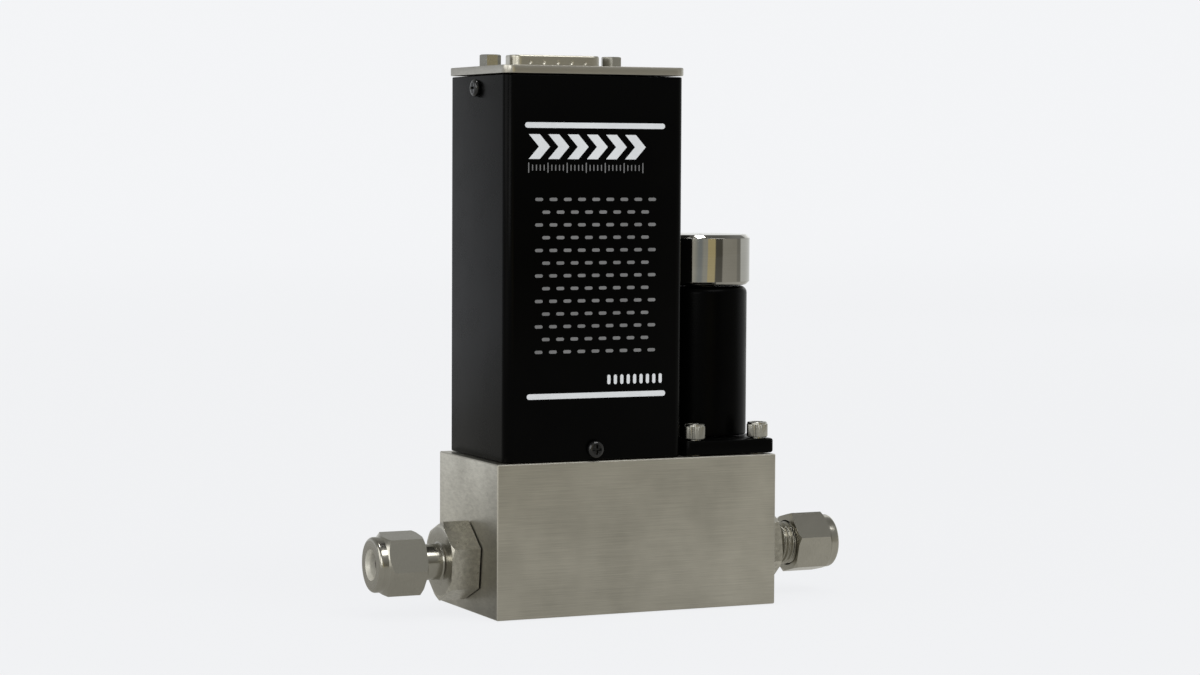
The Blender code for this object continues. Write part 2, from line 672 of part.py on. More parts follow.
def body_block():
    """The flow block with its ports, drillings, wells and tapped holes."""
    block = block_shape("body_block", (BLOCK_LENGTH, BLOCK_DEPTH, BLOCK_HEIGHT),
                        (0.0, 0.0, BLOCK_HEIGHT / 2.0), "brushed_stainless")
    broken_edges(block, BLOCK_EDGE)
    top = BLOCK_HEIGHT + PAST
    sensor_floor = SENSOR_DECK + GAP - SENSOR_SCREW_LENGTH - GAP
    for i, side in enumerate((-1, 1)):
        place = (COVER_X, side * SENSOR_SCREW_SPACING / 2.0, 0.0)
        cut(block, drill(f"cut_sensor_screw_{i + 1}", SENSOR_SCREW_RADIUS + GAP, sensor_floor, top, place))
    bracket_floor = BLOCK_HEIGHT - BRACKET_SCREW_LENGTH
    for i, x in enumerate(BRACKET_SCREW_PLACES):
        place = (x, 0.0, 0.0)
        cut(block, drill(f"cut_bracket_screw_{i + 1}", PAN_SHANK_RADIUS + GAP, bracket_floor, top, place))
    flange_floor = BLOCK_HEIGHT - FLANGE_SCREW_REACH - GAP
    for i, (x, y) in enumerate(flange_screw_places()):
        place = (x, y, 0.0)
        cut(block, drill(f"cut_flange_screw_{i + 1}", FLANGE_SCREW_RADIUS + GAP, flange_floor, top, place))
    for i, side in enumerate((-1, 1)):
        place = (side * MOUNTING_SPACING / 2.0, 0.0, 0.0)
        cut(block, drill(f"cut_mounting_{i + 1}", MOUNTING_HOLE_RADIUS, -PAST, MOUNTING_HOLE_DEPTH, place))
    cut(block, inlet_drilling(), outlet_drilling(), valve_well())
    feed_x = VALVE_X - FEED_OFFSET
    cut(block, drill("cut_valve_feed", FEED_RADIUS, PORT_HEIGHT, CAVITY_FLOOR + GAP, (feed_x, 0.0, 0.0)))
    for i, x in enumerate(TAP_PLACES):
        cut(block, sensor_tap(f"cut_sensor_tap_{i + 1}", x))
    return block


def flow_restrictor():
    """Turned plug with straight laminar channels and a seal groove near its inlet end."""
    half = RESTRICTOR_LENGTH / 2.0
    radius = RESTRICTOR_BORE_RADIUS - GAP
    root = radius - 2.0 * RESTRICTOR_SEAL_SECTION - GAP
    groove = -half + RESTRICTOR_GROOVE_INSET
    edge = GAP
    section = [
        (0.0, -half), (radius - edge, -half), (radius, -half + edge), (radius, groove), (root, groove),
        (root, groove + RESTRICTOR_GROOVE_WIDTH), (radius, groove + RESTRICTOR_GROOVE_WIDTH),
        (radius, half - edge), (radius - edge, half), (0.0, half),
    ]
    place = (COVER_X, 0.0, PORT_HEIGHT)
    plug = placed(turned("flow_restrictor", section, "turned_stainless", SMALL_STEPS), place, FACING_OUTLET)
    spots = []
    for k in range(RESTRICTOR_CHANNELS):
        turn = 2.0 * pi * (k + 0.5) / RESTRICTOR_CHANNELS
        spots.append((RESTRICTOR_CHANNEL_CIRCLE * cos(turn), RESTRICTOR_CHANNEL_CIRCLE * sin(turn)))
    for i, (y, z) in enumerate(spots):
        place = (COVER_X, y, PORT_HEIGHT + z)
        cut(plug, drill(f"cut_channel_{i + 1}", RESTRICTOR_CHANNEL_RADIUS, -half - PAST, half + PAST,
                        place, FACING_OUTLET, 6))
    middle = groove + RESTRICTOR_GROOVE_WIDTH / 2.0
    seal_ring("restrictor_seal", radius - RESTRICTOR_SEAL_SECTION, RESTRICTOR_SEAL_SECTION, middle,
              (COVER_X, 0.0, PORT_HEIGHT), FACING_OUTLET)


def adapter(name, location, rotation, turn, neck_length, holds_screen):
    """Fitting body: sealed shank, hexagon with its outer end chamfered, neck, thread and tube socket."""
    shank = PORT_RADIUS - GAP
    relief = shank - RELIEF_STEP
    corner = BODY_HEX_FLATS / 2.0 / cos(pi / 6.0)
    rim = BODY_HEX_FLATS / 2.0 + BODY_HEX_RIM
    slope = (corner - rim) * tan(pi / 6.0)
    thread_start = BODY_HEX_END + neck_length
    edge = GAP
    stop = THREAD_END - SOCKET_DEPTH
    section = [
        (FLOW_BORE_RADIUS, -SHANK_LENGTH), (shank - edge, -SHANK_LENGTH), (shank, edge - SHANK_LENGTH),
        (shank, -RELIEF_LENGTH), (relief, -RELIEF_LENGTH), (relief, BODY_HEX_START),
        (corner, BODY_HEX_START), (corner, BODY_HEX_END - slope), (rim, BODY_HEX_END),
        (NECK_RADIUS, BODY_HEX_END), (NECK_RADIUS, thread_start),
        (THREAD_RADIUS, thread_start + THREAD_RADIUS - NECK_RADIUS),
        (THREAD_RADIUS, THREAD_END - edge), (THREAD_RADIUS - edge, THREAD_END),
        (SOCKET_MOUTH_RADIUS, THREAD_END), (SOCKET_RADIUS, THREAD_END - SOCKET_CONE_DEPTH),
        (SOCKET_RADIUS, stop), (FLOW_BORE_RADIUS, stop),
    ]
    body = placed(turned(name, section, "turned_stainless"), location, rotation)
    cut(body, hex_flats("cut_flats_" + name, BODY_HEX_FLATS, BODY_HEX_START - GAP / 2.0,
                        BODY_HEX_END + GAP, location, rotation, turn))
    if holds_screen:
        recess = SCREEN_THICKNESS + 2.0 * GAP - SHANK_LENGTH
        cut(body, drill("cut_screen_recess", SCREEN_RADIUS + GAP, -SHANK_LENGTH - PAST, recess,
                        location, rotation, ROUND_STEPS))
    return body


def port_seal(name, location, rotation):
    """Seal between the fitting's relief and the port's flared mouth."""
    relief = PORT_RADIUS - GAP - RELIEF_STEP
    radius = relief + GAP + PORT_SEAL_SECTION
    middle = -PORT_SEAL_SECTION - PORT_SEAL_INSET
    return seal_ring(name, radius, PORT_SEAL_SECTION, middle, location, rotation)


def filter_screen():
    """Sintered disc in the inlet fitting's inner end."""
    foot = -SHANK_LENGTH + GAP
    section = [(0.0, foot), (SCREEN_RADIUS, foot), (SCREEN_RADIUS, foot + SCREEN_THICKNESS),
               (0.0, foot + SCREEN_THICKNESS)]
    disc = turned("inlet_filter_screen", section, "satin_aluminium", SMALL_STEPS)
    return placed(disc, INLET_FACE, FACING_INLET)


def tube_nut(name, location, rotation, turn):
    """Union nut: hexagon, plain collar at the tube end, thread bore, ferrule pocket and tube hole."""
    corner = NUT_FLATS / 2.0 / cos(pi / 6.0)
    inner_rim = NUT_FLATS / 2.0 + NUT_INNER_RIM
    outer_rim = NUT_FLATS / 2.0 + NUT_OUTER_RIM
    inner_slope = (corner - inner_rim) * tan(pi / 6.0)
    outer_slope = (corner - outer_rim) * tan(NUT_OUTER_BEVEL)
    thread = THREAD_RADIUS + GAP
    pocket = TUBE_HOLE_RADIUS + FERRULE_WALL + FERRULE_POCKET_PLAY
    collar = NUT_END - NUT_COLLAR_LENGTH
    lip = NUT_END - NUT_LIP
    step = THREAD_END + GAP
    section = [
        (thread, NUT_START, 0.0), (inner_rim, NUT_START, 0.0), (corner, NUT_START + inner_slope, 0.0),
        (corner, collar - outer_slope, 0.0), (outer_rim, collar, 0.0), (NUT_COLLAR_RADIUS, collar, 0.0),
        (NUT_COLLAR_RADIUS, NUT_END, NUT_ROUNDING), (TUBE_HOLE_RADIUS + TUBE_HOLE_FLARE, NUT_END, 0.0),
        (TUBE_HOLE_RADIUS, NUT_END - TUBE_HOLE_FLARE, 0.0), (TUBE_HOLE_RADIUS, lip, 0.0),
        (pocket, lip - FERRULE_SEAT_RISE, 0.0), (pocket, step, 0.0), (thread, step, 0.0),
    ]
    nut = placed(turned(name, rounded(section), "turned_stainless"), location, rotation)
    return cut(nut, hex_flats("cut_flats_" + name, NUT_FLATS, NUT_START - GAP, collar + GAP / 2.0,
                              location, rotation, turn))


def ferrules(side, location, rotation):
    """Front ferrule in the fitting's cone and back ferrule against the nut's seat."""
    slope = (SOCKET_MOUTH_RADIUS - SOCKET_RADIUS) / SOCKET_CONE_DEPTH
    nose = THREAD_END - FRONT_FERRULE_REACH
    inner = TUBE_HOLE_RADIUS
    outer = inner + FERRULE_WALL
    tail = THREAD_END + FRONT_FERRULE_COLLAR
    front = [
        (inner, nose), (SOCKET_MOUTH_RADIUS - slope * FRONT_FERRULE_REACH - FERRULE_PLAY, nose),
        (SOCKET_MOUTH_RADIUS - FERRULE_PLAY, THREAD_END), (outer, THREAD_END + GAP), (outer, tail),
        (inner + FERRULE_BEVEL, tail), (inner, tail - FERRULE_BEVEL_RUN),
    ]
    placed(turned(side + "_front_ferrule", front, "turned_stainless", TINY_STEPS), location, rotation)
    start = tail - FERRULE_BEVEL_RUN + FERRULE_SEAT_PLAY
    bevel_end = start + FERRULE_BEVEL_RUN
    seat = NUT_END - NUT_LIP - FERRULE_SEAT_PLAY
    shoulder = seat - FERRULE_SEAT_RISE * FERRULE_WALL / (FERRULE_WALL + FERRULE_POCKET_PLAY)
    back = [
        (inner, start), (inner + FERRULE_BEVEL, bevel_end), (outer, bevel_end), (outer, shoulder),
        (inner, seat),
    ]
    placed(turned(side + "_back_ferrule", back, "turned_stainless", TINY_STEPS), location, rotation)


def fittings():
    """Both gas fittings, each with its seal, nut and pair of ferrules."""
    adapter("inlet_adapter", INLET_FACE, FACING_INLET, INLET_BODY_TURN, INLET_NECK_LENGTH, True)
    adapter("outlet_adapter", OUTLET_FACE, FACING_OUTLET, OUTLET_BODY_TURN, OUTLET_NECK_LENGTH, False)
    filter_screen()
    port_seal("inlet_port_seal", INLET_FACE, FACING_INLET)
    port_seal("outlet_port_seal", OUTLET_FACE, FACING_OUTLET)
    tube_nut("inlet_tube_nut", INLET_FACE, FACING_INLET, INLET_NUT_TURN)
    tube_nut("outlet_tube_nut", OUTLET_FACE, FACING_OUTLET, OUTLET_NUT_TURN)
    ferrules("inlet", INLET_FACE, FACING_INLET)
    ferrules("outlet", OUTLET_FACE, FACING_OUTLET)


def cap_screw(name, location, head_radius, head_height, shank_radius, shank_length):
    """Socket cap screw standing on local Z, its head's underside at the origin."""
    edge = CAP_EDGE
    section = [
        (0.0, -shank_length), (shank_radius - edge, -shank_length), (shank_radius, edge - shank_length),
        (shank_radius, 0.0), (head_radius - edge / 2.0, 0.0), (head_radius, edge / 2.0),
        (head_radius, head_height - edge), (head_radius - edge, head_height), (0.0, head_height),
    ]
    screw = placed(turned(name, section, "turned_stainless", TINY_STEPS), location)
    socket = CAP_SOCKET_FLATS * head_radius / CAP_HEAD_RADIUS
    corner = socket / 2.0 / cos(pi / 6.0)
    floor = head_height - CAP_SOCKET_DEPTH * head_height / CAP_HEAD_HEIGHT
    return cut(screw, drill("cut_socket_" + name, corner, floor, head_height + PAST, location, steps=6))


def cross_outline():
    """Plus-shaped outline of the driver recess."""
    near, far = PAN_CROSS_WIDTH / 2.0, PAN_CROSS_LENGTH / 2.0
    return [(near, near), (near, far), (-near, far), (-near, near), (-far, near), (-far, -near),
            (-near, -near), (-near, -far), (near, -far), (near, -near), (far, -near), (far, near)]


def pan_screw(name, location, rotation, shank_length, finish="blackened_steel"):
    """Pan-head screw with a cross recess, its head's underside at the origin and local Z outward."""
    section = rounded([
        (0.0, -shank_length, 0.0), (PAN_SHANK_RADIUS, -shank_length, 0.0), (PAN_SHANK_RADIUS, 0.0, 0.0),
        (PAN_HEAD_RADIUS, 0.0, 0.0), (PAN_HEAD_RADIUS, PAN_HEAD_HEIGHT, PAN_HEAD_ROUNDING),
        (0.0, PAN_HEAD_HEIGHT, 0.0),
    ], 2)
    screw = placed(turned(name, section, finish, TINY_STEPS), location, rotation)
    cross = extruded("cut_cross_" + name, cross_outline(), PAN_HEAD_HEIGHT - PAN_CROSS_DEPTH,
                     PAN_HEAD_HEIGHT + PAST, finish)
    return cut(screw, placed(cross, location, rotation))


def sensor_base():
    """Block under the sensor, with a foot hole for each leg of the tube and two screw holes."""
    middle = (COVER_X, 0.0, SENSOR_FOOT + SENSOR_BASE_HEIGHT / 2.0)
    base = block_shape("sensor_base", (SENSOR_BASE_WIDTH, SENSOR_BASE_DEPTH, SENSOR_BASE_HEIGHT), middle,
                       "turned_stainless")
    broken_edges(base, BLOCK_EDGE)
    bottom, top = SENSOR_FOOT - PAST, SENSOR_DECK + PAST
    for i, x in enumerate(TAP_PLACES):
        cut(base, drill(f"cut_leg_{i + 1}", SENSOR_TUBE_RADIUS + GAP, bottom, top, (x, 0.0, 0.0)))
    for i, side in enumerate((-1, 1)):
        place = (COVER_X, side * SENSOR_SCREW_SPACING / 2.0, 0.0)
        cut(base, drill(f"cut_base_screw_{i + 1}", SENSOR_SCREW_RADIUS + GAP, bottom, top, place))
    return base


def sensor_tube():
    """Capillary tube bent into an upturned U, its legs standing in the base's foot holes."""
    left, right = TAP_PLACES
    bend = SENSOR_BEND_RADIUS
    arcs = [pi / 8.0 * k for k in range(5)]
    path = [(left, 0.0, SENSOR_FOOT + GAP)]
    path += [(left + bend - bend * cos(t), 0.0, SENSOR_TUBE_TOP - bend + bend * sin(t)) for t in arcs]
    path += [(right - bend + bend * sin(t), 0.0, SENSOR_TUBE_TOP - bend + bend * cos(t)) for t in arcs]
    path += [(right, 0.0, SENSOR_FOOT + GAP)]
    return swept("sensor_tube", path, SENSOR_TUBE_RADIUS, "turned_stainless", 6, SENSOR_TUBE_BORE)


def sensor_windings():
    """The two heater and thermometer windings on the tube's level run."""
    half = WINDING_LENGTH / 2.0
    inner = SENSOR_TUBE_RADIUS + GAP
    section = [(inner, -half), (WINDING_RADIUS, -half), (WINDING_RADIUS, half), (inner, half)]
    for name, side in (("sensor_winding_upstream", -1), ("sensor_winding_downstream", 1)):
        place = (COVER_X + side * WINDING_SPACING / 2.0, 0.0, SENSOR_TUBE_TOP)
        placed(turned(name, section, "amber_coating", TINY_STEPS), place, FACING_OUTLET)


def sensor_cover():
    """Drawn can over the sensor, open below, with a slot for the lead in its rear wall."""
    foot = SENSOR_DECK + GAP
    outer = rounded(rectangle(SENSOR_COVER_WIDTH, SENSOR_COVER_DEPTH, SENSOR_COVER_CORNER))
    wall = 2.0 * SENSOR_COVER_WALL
    inner = rounded(rectangle(SENSOR_COVER_WIDTH - wall, SENSOR_COVER_DEPTH - wall,
                              SENSOR_COVER_CORNER - SENSOR_COVER_WALL))
    can = extruded("sensor_cover", outer, foot, foot + SENSOR_COVER_HEIGHT, "satin_aluminium")
    hollow = extruded("cut_sensor_hollow", inner, foot - PAST, foot + SENSOR_COVER_HEIGHT - SENSOR_COVER_WALL,
                      "satin_aluminium")
    place = (COVER_X, 0.0, 0.0)
    window = drill("cut_sensor_lead_hole", SENSOR_LEAD_RADIUS + GAP, 0.0, SENSOR_COVER_DEPTH,
                   (COVER_X, 0.0, SENSOR_TUBE_TOP), (-pi / 2.0, 0.0, 0.0))
    return cut(placed(can, place), placed(hollow, place), window)


def flow_sensor():
    """The bypass sensor on the block's top with its seals and screws."""
    sensor_base()
    sensor_tube()
    sensor_windings()
    sensor_cover()
    middle = BLOCK_HEIGHT - SENSOR_SEAL_POCKET + GAP + SENSOR_SEAL_SECTION
    for name, x in zip(("sensor_seal_upstream", "sensor_seal_downstream"), TAP_PLACES):
        seal_ring(name, SENSOR_SEAL_RADIUS, SENSOR_SEAL_SECTION, middle, (x, 0.0, 0.0))
    for name, side in (("sensor_screw_front", -1), ("sensor_screw_rear", 1)):
        place = (COVER_X, side * SENSOR_SCREW_SPACING / 2.0, SENSOR_DECK + GAP)
        cap_screw(name, place, SENSOR_HEAD_RADIUS, SENSOR_HEAD_HEIGHT, SENSOR_SCREW_RADIUS,
                  SENSOR_SCREW_LENGTH)


def cover_screw_places():
    """Where the cover's four screws seat, with the turn that points each one outward."""
    side_z = COVER_TOP - SIDE_SCREW_DROP
    foot_z = BLOCK_HEIGHT + FOOT_SCREW_RISE
    reach = COVER_DEPTH / 2.0 + GAP
    return {
        "cover_screw_left": ((COVER_LEFT - GAP, 0.0, side_z), FACING_INLET),
        "cover_screw_right": ((COVER_RIGHT + GAP, 0.0, side_z), FACING_OUTLET),
        "cover_screw_front": ((COVER_X, -reach, foot_z), (pi / 2.0, 0.0, 0.0)),
        "cover_screw_rear": ((COVER_X, reach, foot_z), (-pi / 2.0, 0.0, 0.0)),
    }


def screw_holes(carrier, sides):
    """Clearance drills for the cover screws on the named sides, cut from outside inward."""
    depth = PAN_SHANK_LENGTH + GAP
    places = cover_screw_places()
    return [
        drill(f"cut_{carrier}_screw_{side}", PAN_SHANK_RADIUS + GAP, -depth, PAST,
              *places["cover_screw_" + side])
        for side in sides
    ]


def electronics_cover():
    """Drawn rectangular tube with rounded corners, four screw holes and the coil lead's hole."""
    wall = 2.0 * COVER_WALL
    outer = rounded(rectangle(COVER_WIDTH, COVER_DEPTH, COVER_CORNER), 5)
    inner = rounded(rectangle(COVER_WIDTH - wall, COVER_DEPTH - wall, COVER_CORNER - COVER_WALL), 5)
    cover = extruded("electronics_cover", outer, COVER_FOOT, COVER_TOP, "black_satin_paint")
    hollow = extruded("cut_cover_hollow", inner, COVER_FOOT - PAST, COVER_TOP + PAST, "black_satin_paint")
    place = (COVER_X, 0.0, 0.0)
    holes = screw_holes("cover", ("left", "right", "front", "rear"))
    cut(placed(cover, place), placed(hollow, place), *holes)
    lead_hole = COIL_LEAD_RADIUS + 2.0 * GAP + GROMMET_WALL
    drilled = drill("cut_cover_lead_hole", lead_hole, -COVER_WALL - PAST, PAST,
                    (COVER_RIGHT, 0.0, COIL_LEAD_Z), FACING_OUTLET, SMALL_STEPS)
    return cut(cover, drilled)


def top_plate():
    """Metal end plate with the connector's opening and two lugs for the side screws."""
    width = COVER_WIDTH + 2.0 * PLATE_OVERHANG
    depth = COVER_DEPTH + 2.0 * PLATE_OVERHANG
    outline = rounded(rectangle(width, depth, COVER_CORNER + PLATE_OVERHANG), 5)
    plate = placed(extruded("top_plate", outline, PLATE_FOOT, PLATE_TOP, "brushed_stainless"),
                   (COVER_X, 0.0, 0.0))
    broken_edges(plate, PLATE_EDGE)
    bite = PLATE_THICKNESS / 2.0
    reach = COVER_WIDTH / 2.0 - COVER_WALL - GAP - LUG_THICKNESS / 2.0
    height = LUG_DROP + bite
    for name, side in (("left", -1), ("right", 1)):
        middle = (COVER_X + side * reach, 0.0, PLATE_FOOT + bite - height / 2.0)
        join(plate, block_shape("lug_" + name, (LUG_THICKNESS, LUG_WIDTH, height), middle,
                                "brushed_stainless"))
    opening = extruded("cut_connector_opening", shell_outline(2.0 * GAP), PLATE_FOOT - PAST,
                       PLATE_TOP + PAST, "brushed_stainless")
    cut(plate, placed(opening, (COVER_X, CONNECTOR_SETBACK, 0.0)), *screw_holes("lug", ("left", "right")))
    for i, side in enumerate((-1, 1)):
        place = (COVER_X + side * JACKSCREW_SPACING / 2.0, CONNECTOR_SETBACK, 0.0)
        cut(plate, drill(f"cut_plate_jackscrew_{i + 1}", JACKSCREW_SHANK_RADIUS + GAP, PLATE_FOOT - PAST,
                         PLATE_TOP + PAST, place))
    return plate


def cover_bracket():
    """Bent sheet on the block: a front lug, a rear tab for the board, and a window for the sensor."""
    half, sheet, bend = BRACKET_HALF_DEPTH, BRACKET_SHEET, BRACKET_BEND
    foot = BLOCK_HEIGHT + GAP
    lug_top, tab_top = foot + BRACKET_LUG_HEIGHT, foot + BRACKET_TAB_HEIGHT
    section = rounded([
        (-half, lug_top, 0.0), (-half, foot, bend + sheet), (half, foot, bend + sheet),
        (half, tab_top, 0.0), (half - sheet, tab_top, 0.0), (half - sheet, foot + sheet, bend),
        (sheet - half, foot + sheet, bend), (sheet - half, lug_top, 0.0),
    ])
    start, end = COVER_X - BRACKET_LENGTH / 2.0, COVER_X + BRACKET_LENGTH / 2.0
    bracket = extruded("cover_bracket", section, start, end, "satin_aluminium", "X")
    lug = BRACKET_LUG_WIDTH / 2.0
    tab_start = COVER_X - BRACKET_TAB_REACH
    side_depth = bend + 2.0 * sheet
    notches = (
        ("front_left", start - PAST, COVER_X - lug, -1), ("front_right", COVER_X + lug, end + PAST, -1),
        ("rear_left", start - PAST, tab_start, 1), ("rear_right", COVER_X + lug, end + PAST, 1),
    )
    height = BRACKET_TAB_HEIGHT + 2.0 * PAST
    for name, low, high, side in notches:
        size = (high - low, side_depth, height)
        middle = ((low + high) / 2.0, side * (half + PAST - side_depth / 2.0), foot - PAST + height / 2.0)
        cut(bracket, block_shape("cut_notch_" + name, size, middle, "satin_aluminium"))
    window = (SENSOR_BASE_WIDTH + 4.0 * GAP, SENSOR_BASE_DEPTH + 4.0 * GAP, 4.0 * sheet)
    cut(bracket, block_shape("cut_sensor_window", window, (COVER_X, 0.0, foot), "satin_aluminium"))
    cut(bracket, *screw_holes("bracket", ("front", "rear")))
    for i, x in enumerate(BRACKET_SCREW_PLACES):
        cut(bracket, drill(f"cut_bracket_foot_{i + 1}", PAN_SHANK_RADIUS + GAP, foot - PAST,
                           foot + sheet + PAST, (x, 0.0, 0.0)))
    cut(bracket, drill("cut_bracket_standoff", PAN_SHANK_RADIUS + GAP, 0.0, half,
                       (board_hole_x(), BOARD_BACK, board_hole_z()), (-pi / 2.0, 0.0, 0.0)))
    return bracket


def board_hole_x():
    """Where the board's screw goes, along the block."""
    return COVER_X - BOARD_HOLE_INSET


def board_hole_z():
    """Height of the board's screw."""
    return BOARD_FOOT + BOARD_SCREW_RISE


def electronics():
    """Circuit board with its chip and lead socket, on a standoff from the bracket's tab."""
    middle = (COVER_X, CONNECTOR_SETBACK, (BOARD_FOOT + BOARD_TOP) / 2.0)
    board = block_shape("circuit_board", (BOARD_WIDTH, BOARD_THICKNESS, BOARD_HEIGHT), middle, "green_board")
    facing_front = (pi / 2.0, 0.0, 0.0)
    spot = (board_hole_x(), CONNECTOR_SETBACK, board_hole_z())
    cut(board, drill("cut_board_hole", PAN_SHANK_RADIUS + GAP, -BOARD_THICKNESS, BOARD_THICKNESS, spot,
                     facing_front))
    chip_y = BOARD_FRONT - GAP - CHIP_THICKNESS / 2.0
    chip = block_shape("processor_chip", (CHIP_SIDE, CHIP_THICKNESS, CHIP_SIDE),
                       (COVER_X, chip_y, BOARD_FOOT + CHIP_RISE), "black_plastic")
    broken_edges(chip, CHIP_EDGE)
    socket = block_shape("lead_socket", (LEAD_SOCKET_WIDTH, LEAD_SOCKET_DEPTH, LEAD_SOCKET_HEIGHT),
                         socket_place(), "white_plastic")
    broken_edges(socket, CHIP_EDGE)
    tab = BRACKET_HALF_DEPTH - BRACKET_SHEET
    reach = tab - BOARD_BACK - 2.0 * GAP
    bore = PAN_SHANK_RADIUS + GAP
    section = [(bore, 0.0), (STANDOFF_RADIUS, 0.0), (STANDOFF_RADIUS, reach), (bore, reach)]
    post = turned("board_standoff", section, "turned_stainless", TINY_STEPS)
    placed(post, (spot[0], BOARD_BACK + GAP, spot[2]), (-pi / 2.0, 0.0, 0.0))
    length = BOARD_THICKNESS + tab - BOARD_BACK + GAP
    pan_screw("board_screw", (spot[0], BOARD_FRONT - GAP, spot[2]), facing_front, length, "turned_stainless")


def shell_outline(extra=0.0):
    """D-shaped outline of the connector, its wide side towards -Y, grown by extra on every side."""
    half_depth = SHELL_DEPTH / 2.0 + extra
    wide = SHELL_WIDTH / 2.0 + extra / cos(SHELL_SLANT) + extra * tan(SHELL_SLANT)
    narrow = wide - 2.0 * half_depth * tan(SHELL_SLANT)
    corner = SHELL_CORNER + extra
    return rounded([
        (-wide, -half_depth, corner), (wide, -half_depth, corner),
        (narrow, half_depth, corner), (-narrow, half_depth, corner),
    ])


def pin_row(count, depth):
    """One row of contacts, centred on the connector."""
    return [((i - (count - 1) / 2.0) * PIN_PITCH, depth) for i in range(count)]


def pin_places():
    """Both rows of contacts, from the connector's centre."""
    return pin_row(FRONT_PINS, -PIN_ROW_SPACING / 2.0) + pin_row(REAR_PINS, PIN_ROW_SPACING / 2.0)


def connector_shell():
    """Drawn steel shell: a D-shaped wall standing on a flat flange with two screw holes."""
    place = (COVER_X, CONNECTOR_SETBACK, 0.0)
    crown = CONNECTOR_TOP + SHELL_RISE
    sheet = rounded(rectangle(CONNECTOR_FLANGE_WIDTH, CONNECTOR_FLANGE_DEPTH, CONNECTOR_FLANGE_CORNER))
    shell = extruded("connector_shell", sheet, CONNECTOR_FOOT, CONNECTOR_TOP, "plated_steel")
    wall = extruded("shell_wall", shell_outline(), CONNECTOR_FOOT + CONNECTOR_FLANGE_SHEET / 2.0, crown,
                    "plated_steel")
    join(placed(shell, place), placed(wall, place))
    inner = extruded("cut_shell_inside", shell_outline(-SHELL_WALL), CONNECTOR_FOOT - PAST, crown + PAST,
                     "plated_steel")
    cut(shell, placed(inner, place))
    for i, side in enumerate((-1, 1)):
        spot = (COVER_X + side * JACKSCREW_SPACING / 2.0, CONNECTOR_SETBACK, 0.0)
        cut(shell, drill(f"cut_flange_jackscrew_{i + 1}", JACKSCREW_SHANK_RADIUS + GAP,
                         CONNECTOR_FOOT - PAST, CONNECTOR_TOP + PAST, spot))
    return shell


def connector_insert():
    """Moulded insert with its contacts, whose tails reach down to the circuit board."""
    place = (COVER_X, CONNECTOR_SETBACK, 0.0)
    insert = extruded("connector_insert", shell_outline(-SHELL_WALL - GAP), INSERT_FOOT + PAST,
                      CONNECTOR_TOP + INSERT_FACE_RISE, "black_plastic")
    outline = rounded(rectangle(INSERT_BODY_WIDTH, INSERT_BODY_DEPTH, INSERT_BODY_CORNER))
    body = extruded("insert_body", outline, INSERT_FOOT, CONNECTOR_FOOT - GAP, "black_plastic")
    join(placed(insert, place), placed(body, place))
    pin_top = CONNECTOR_TOP + SHELL_RISE - PIN_SETBACK
    tail = INSERT_FOOT - PIN_TAIL_LENGTH
    section = [
        (0.0, tail), (PIN_TAIL_RADIUS, tail), (PIN_TAIL_RADIUS, INSERT_FOOT + PAST),
        (PIN_RADIUS, INSERT_FOOT + PAST), (PIN_RADIUS, pin_top - PIN_RADIUS), (0.0, pin_top),
    ]
    for i, (x, y) in enumerate(pin_places()):
        spot = (COVER_X + x, CONNECTOR_SETBACK + y, 0.0)
        join(insert, placed(turned(f"pin_{i + 1}", section, "plated_steel", 6), spot))
    return insert


def jackscrew(name, side, turn):
    """Hexagonal standoff screw with a threaded hole in its head."""
    place = (COVER_X + side * JACKSCREW_SPACING / 2.0, CONNECTOR_SETBACK, PLATE_TOP + GAP)
    corner = JACKSCREW_FLATS / 2.0 / cos(pi / 6.0)
    rim = JACKSCREW_FLATS / 2.0
    slope = (corner - rim) * tan(pi / 6.0)
    section = [
        (0.0, -JACKSCREW_SHANK_LENGTH), (JACKSCREW_SHANK_RADIUS, -JACKSCREW_SHANK_LENGTH),
        (JACKSCREW_SHANK_RADIUS, 0.0), (corner, 0.0), (corner, JACKSCREW_HEIGHT - slope),
        (rim, JACKSCREW_HEIGHT), (JACKSCREW_HOLE_RADIUS, JACKSCREW_HEIGHT),
        (JACKSCREW_HOLE_RADIUS, GAP), (0.0, GAP),
    ]
    screw = placed(turned(name, section, "plated_steel", SMALL_STEPS), place)
    return cut(screw, hex_flats("cut_flats_" + name, JACKSCREW_FLATS, -GAP / 2.0, JACKSCREW_HEIGHT + PAST,
                                place, (0.0, 0.0, 0.0), turn))


def cover_assembly():
    """Bracket, cover, end plate, connector and all their screws."""
    cover_bracket()
    for name, x in zip(("bracket_screw_left", "bracket_screw_right"), BRACKET_SCREW_PLACES):
        pan_screw(name, (x, 0.0, BLOCK_HEIGHT + BRACKET_SHEET + 2.0 * GAP), (0.0, 0.0, 0.0),
                  BRACKET_SCREW_LENGTH, "turned_stainless")
    electronics_cover()
    top_plate()
    connector_shell()
    connector_insert()
    jackscrew("jackscrew_left", -1, LEFT_JACKSCREW_TURN)
    jackscrew("jackscrew_right", 1, RIGHT_JACKSCREW_TURN)
    for name, (place, turn) in cover_screw_places().items():
        pan_screw(name, place, turn, PAN_SHANK_LENGTH)


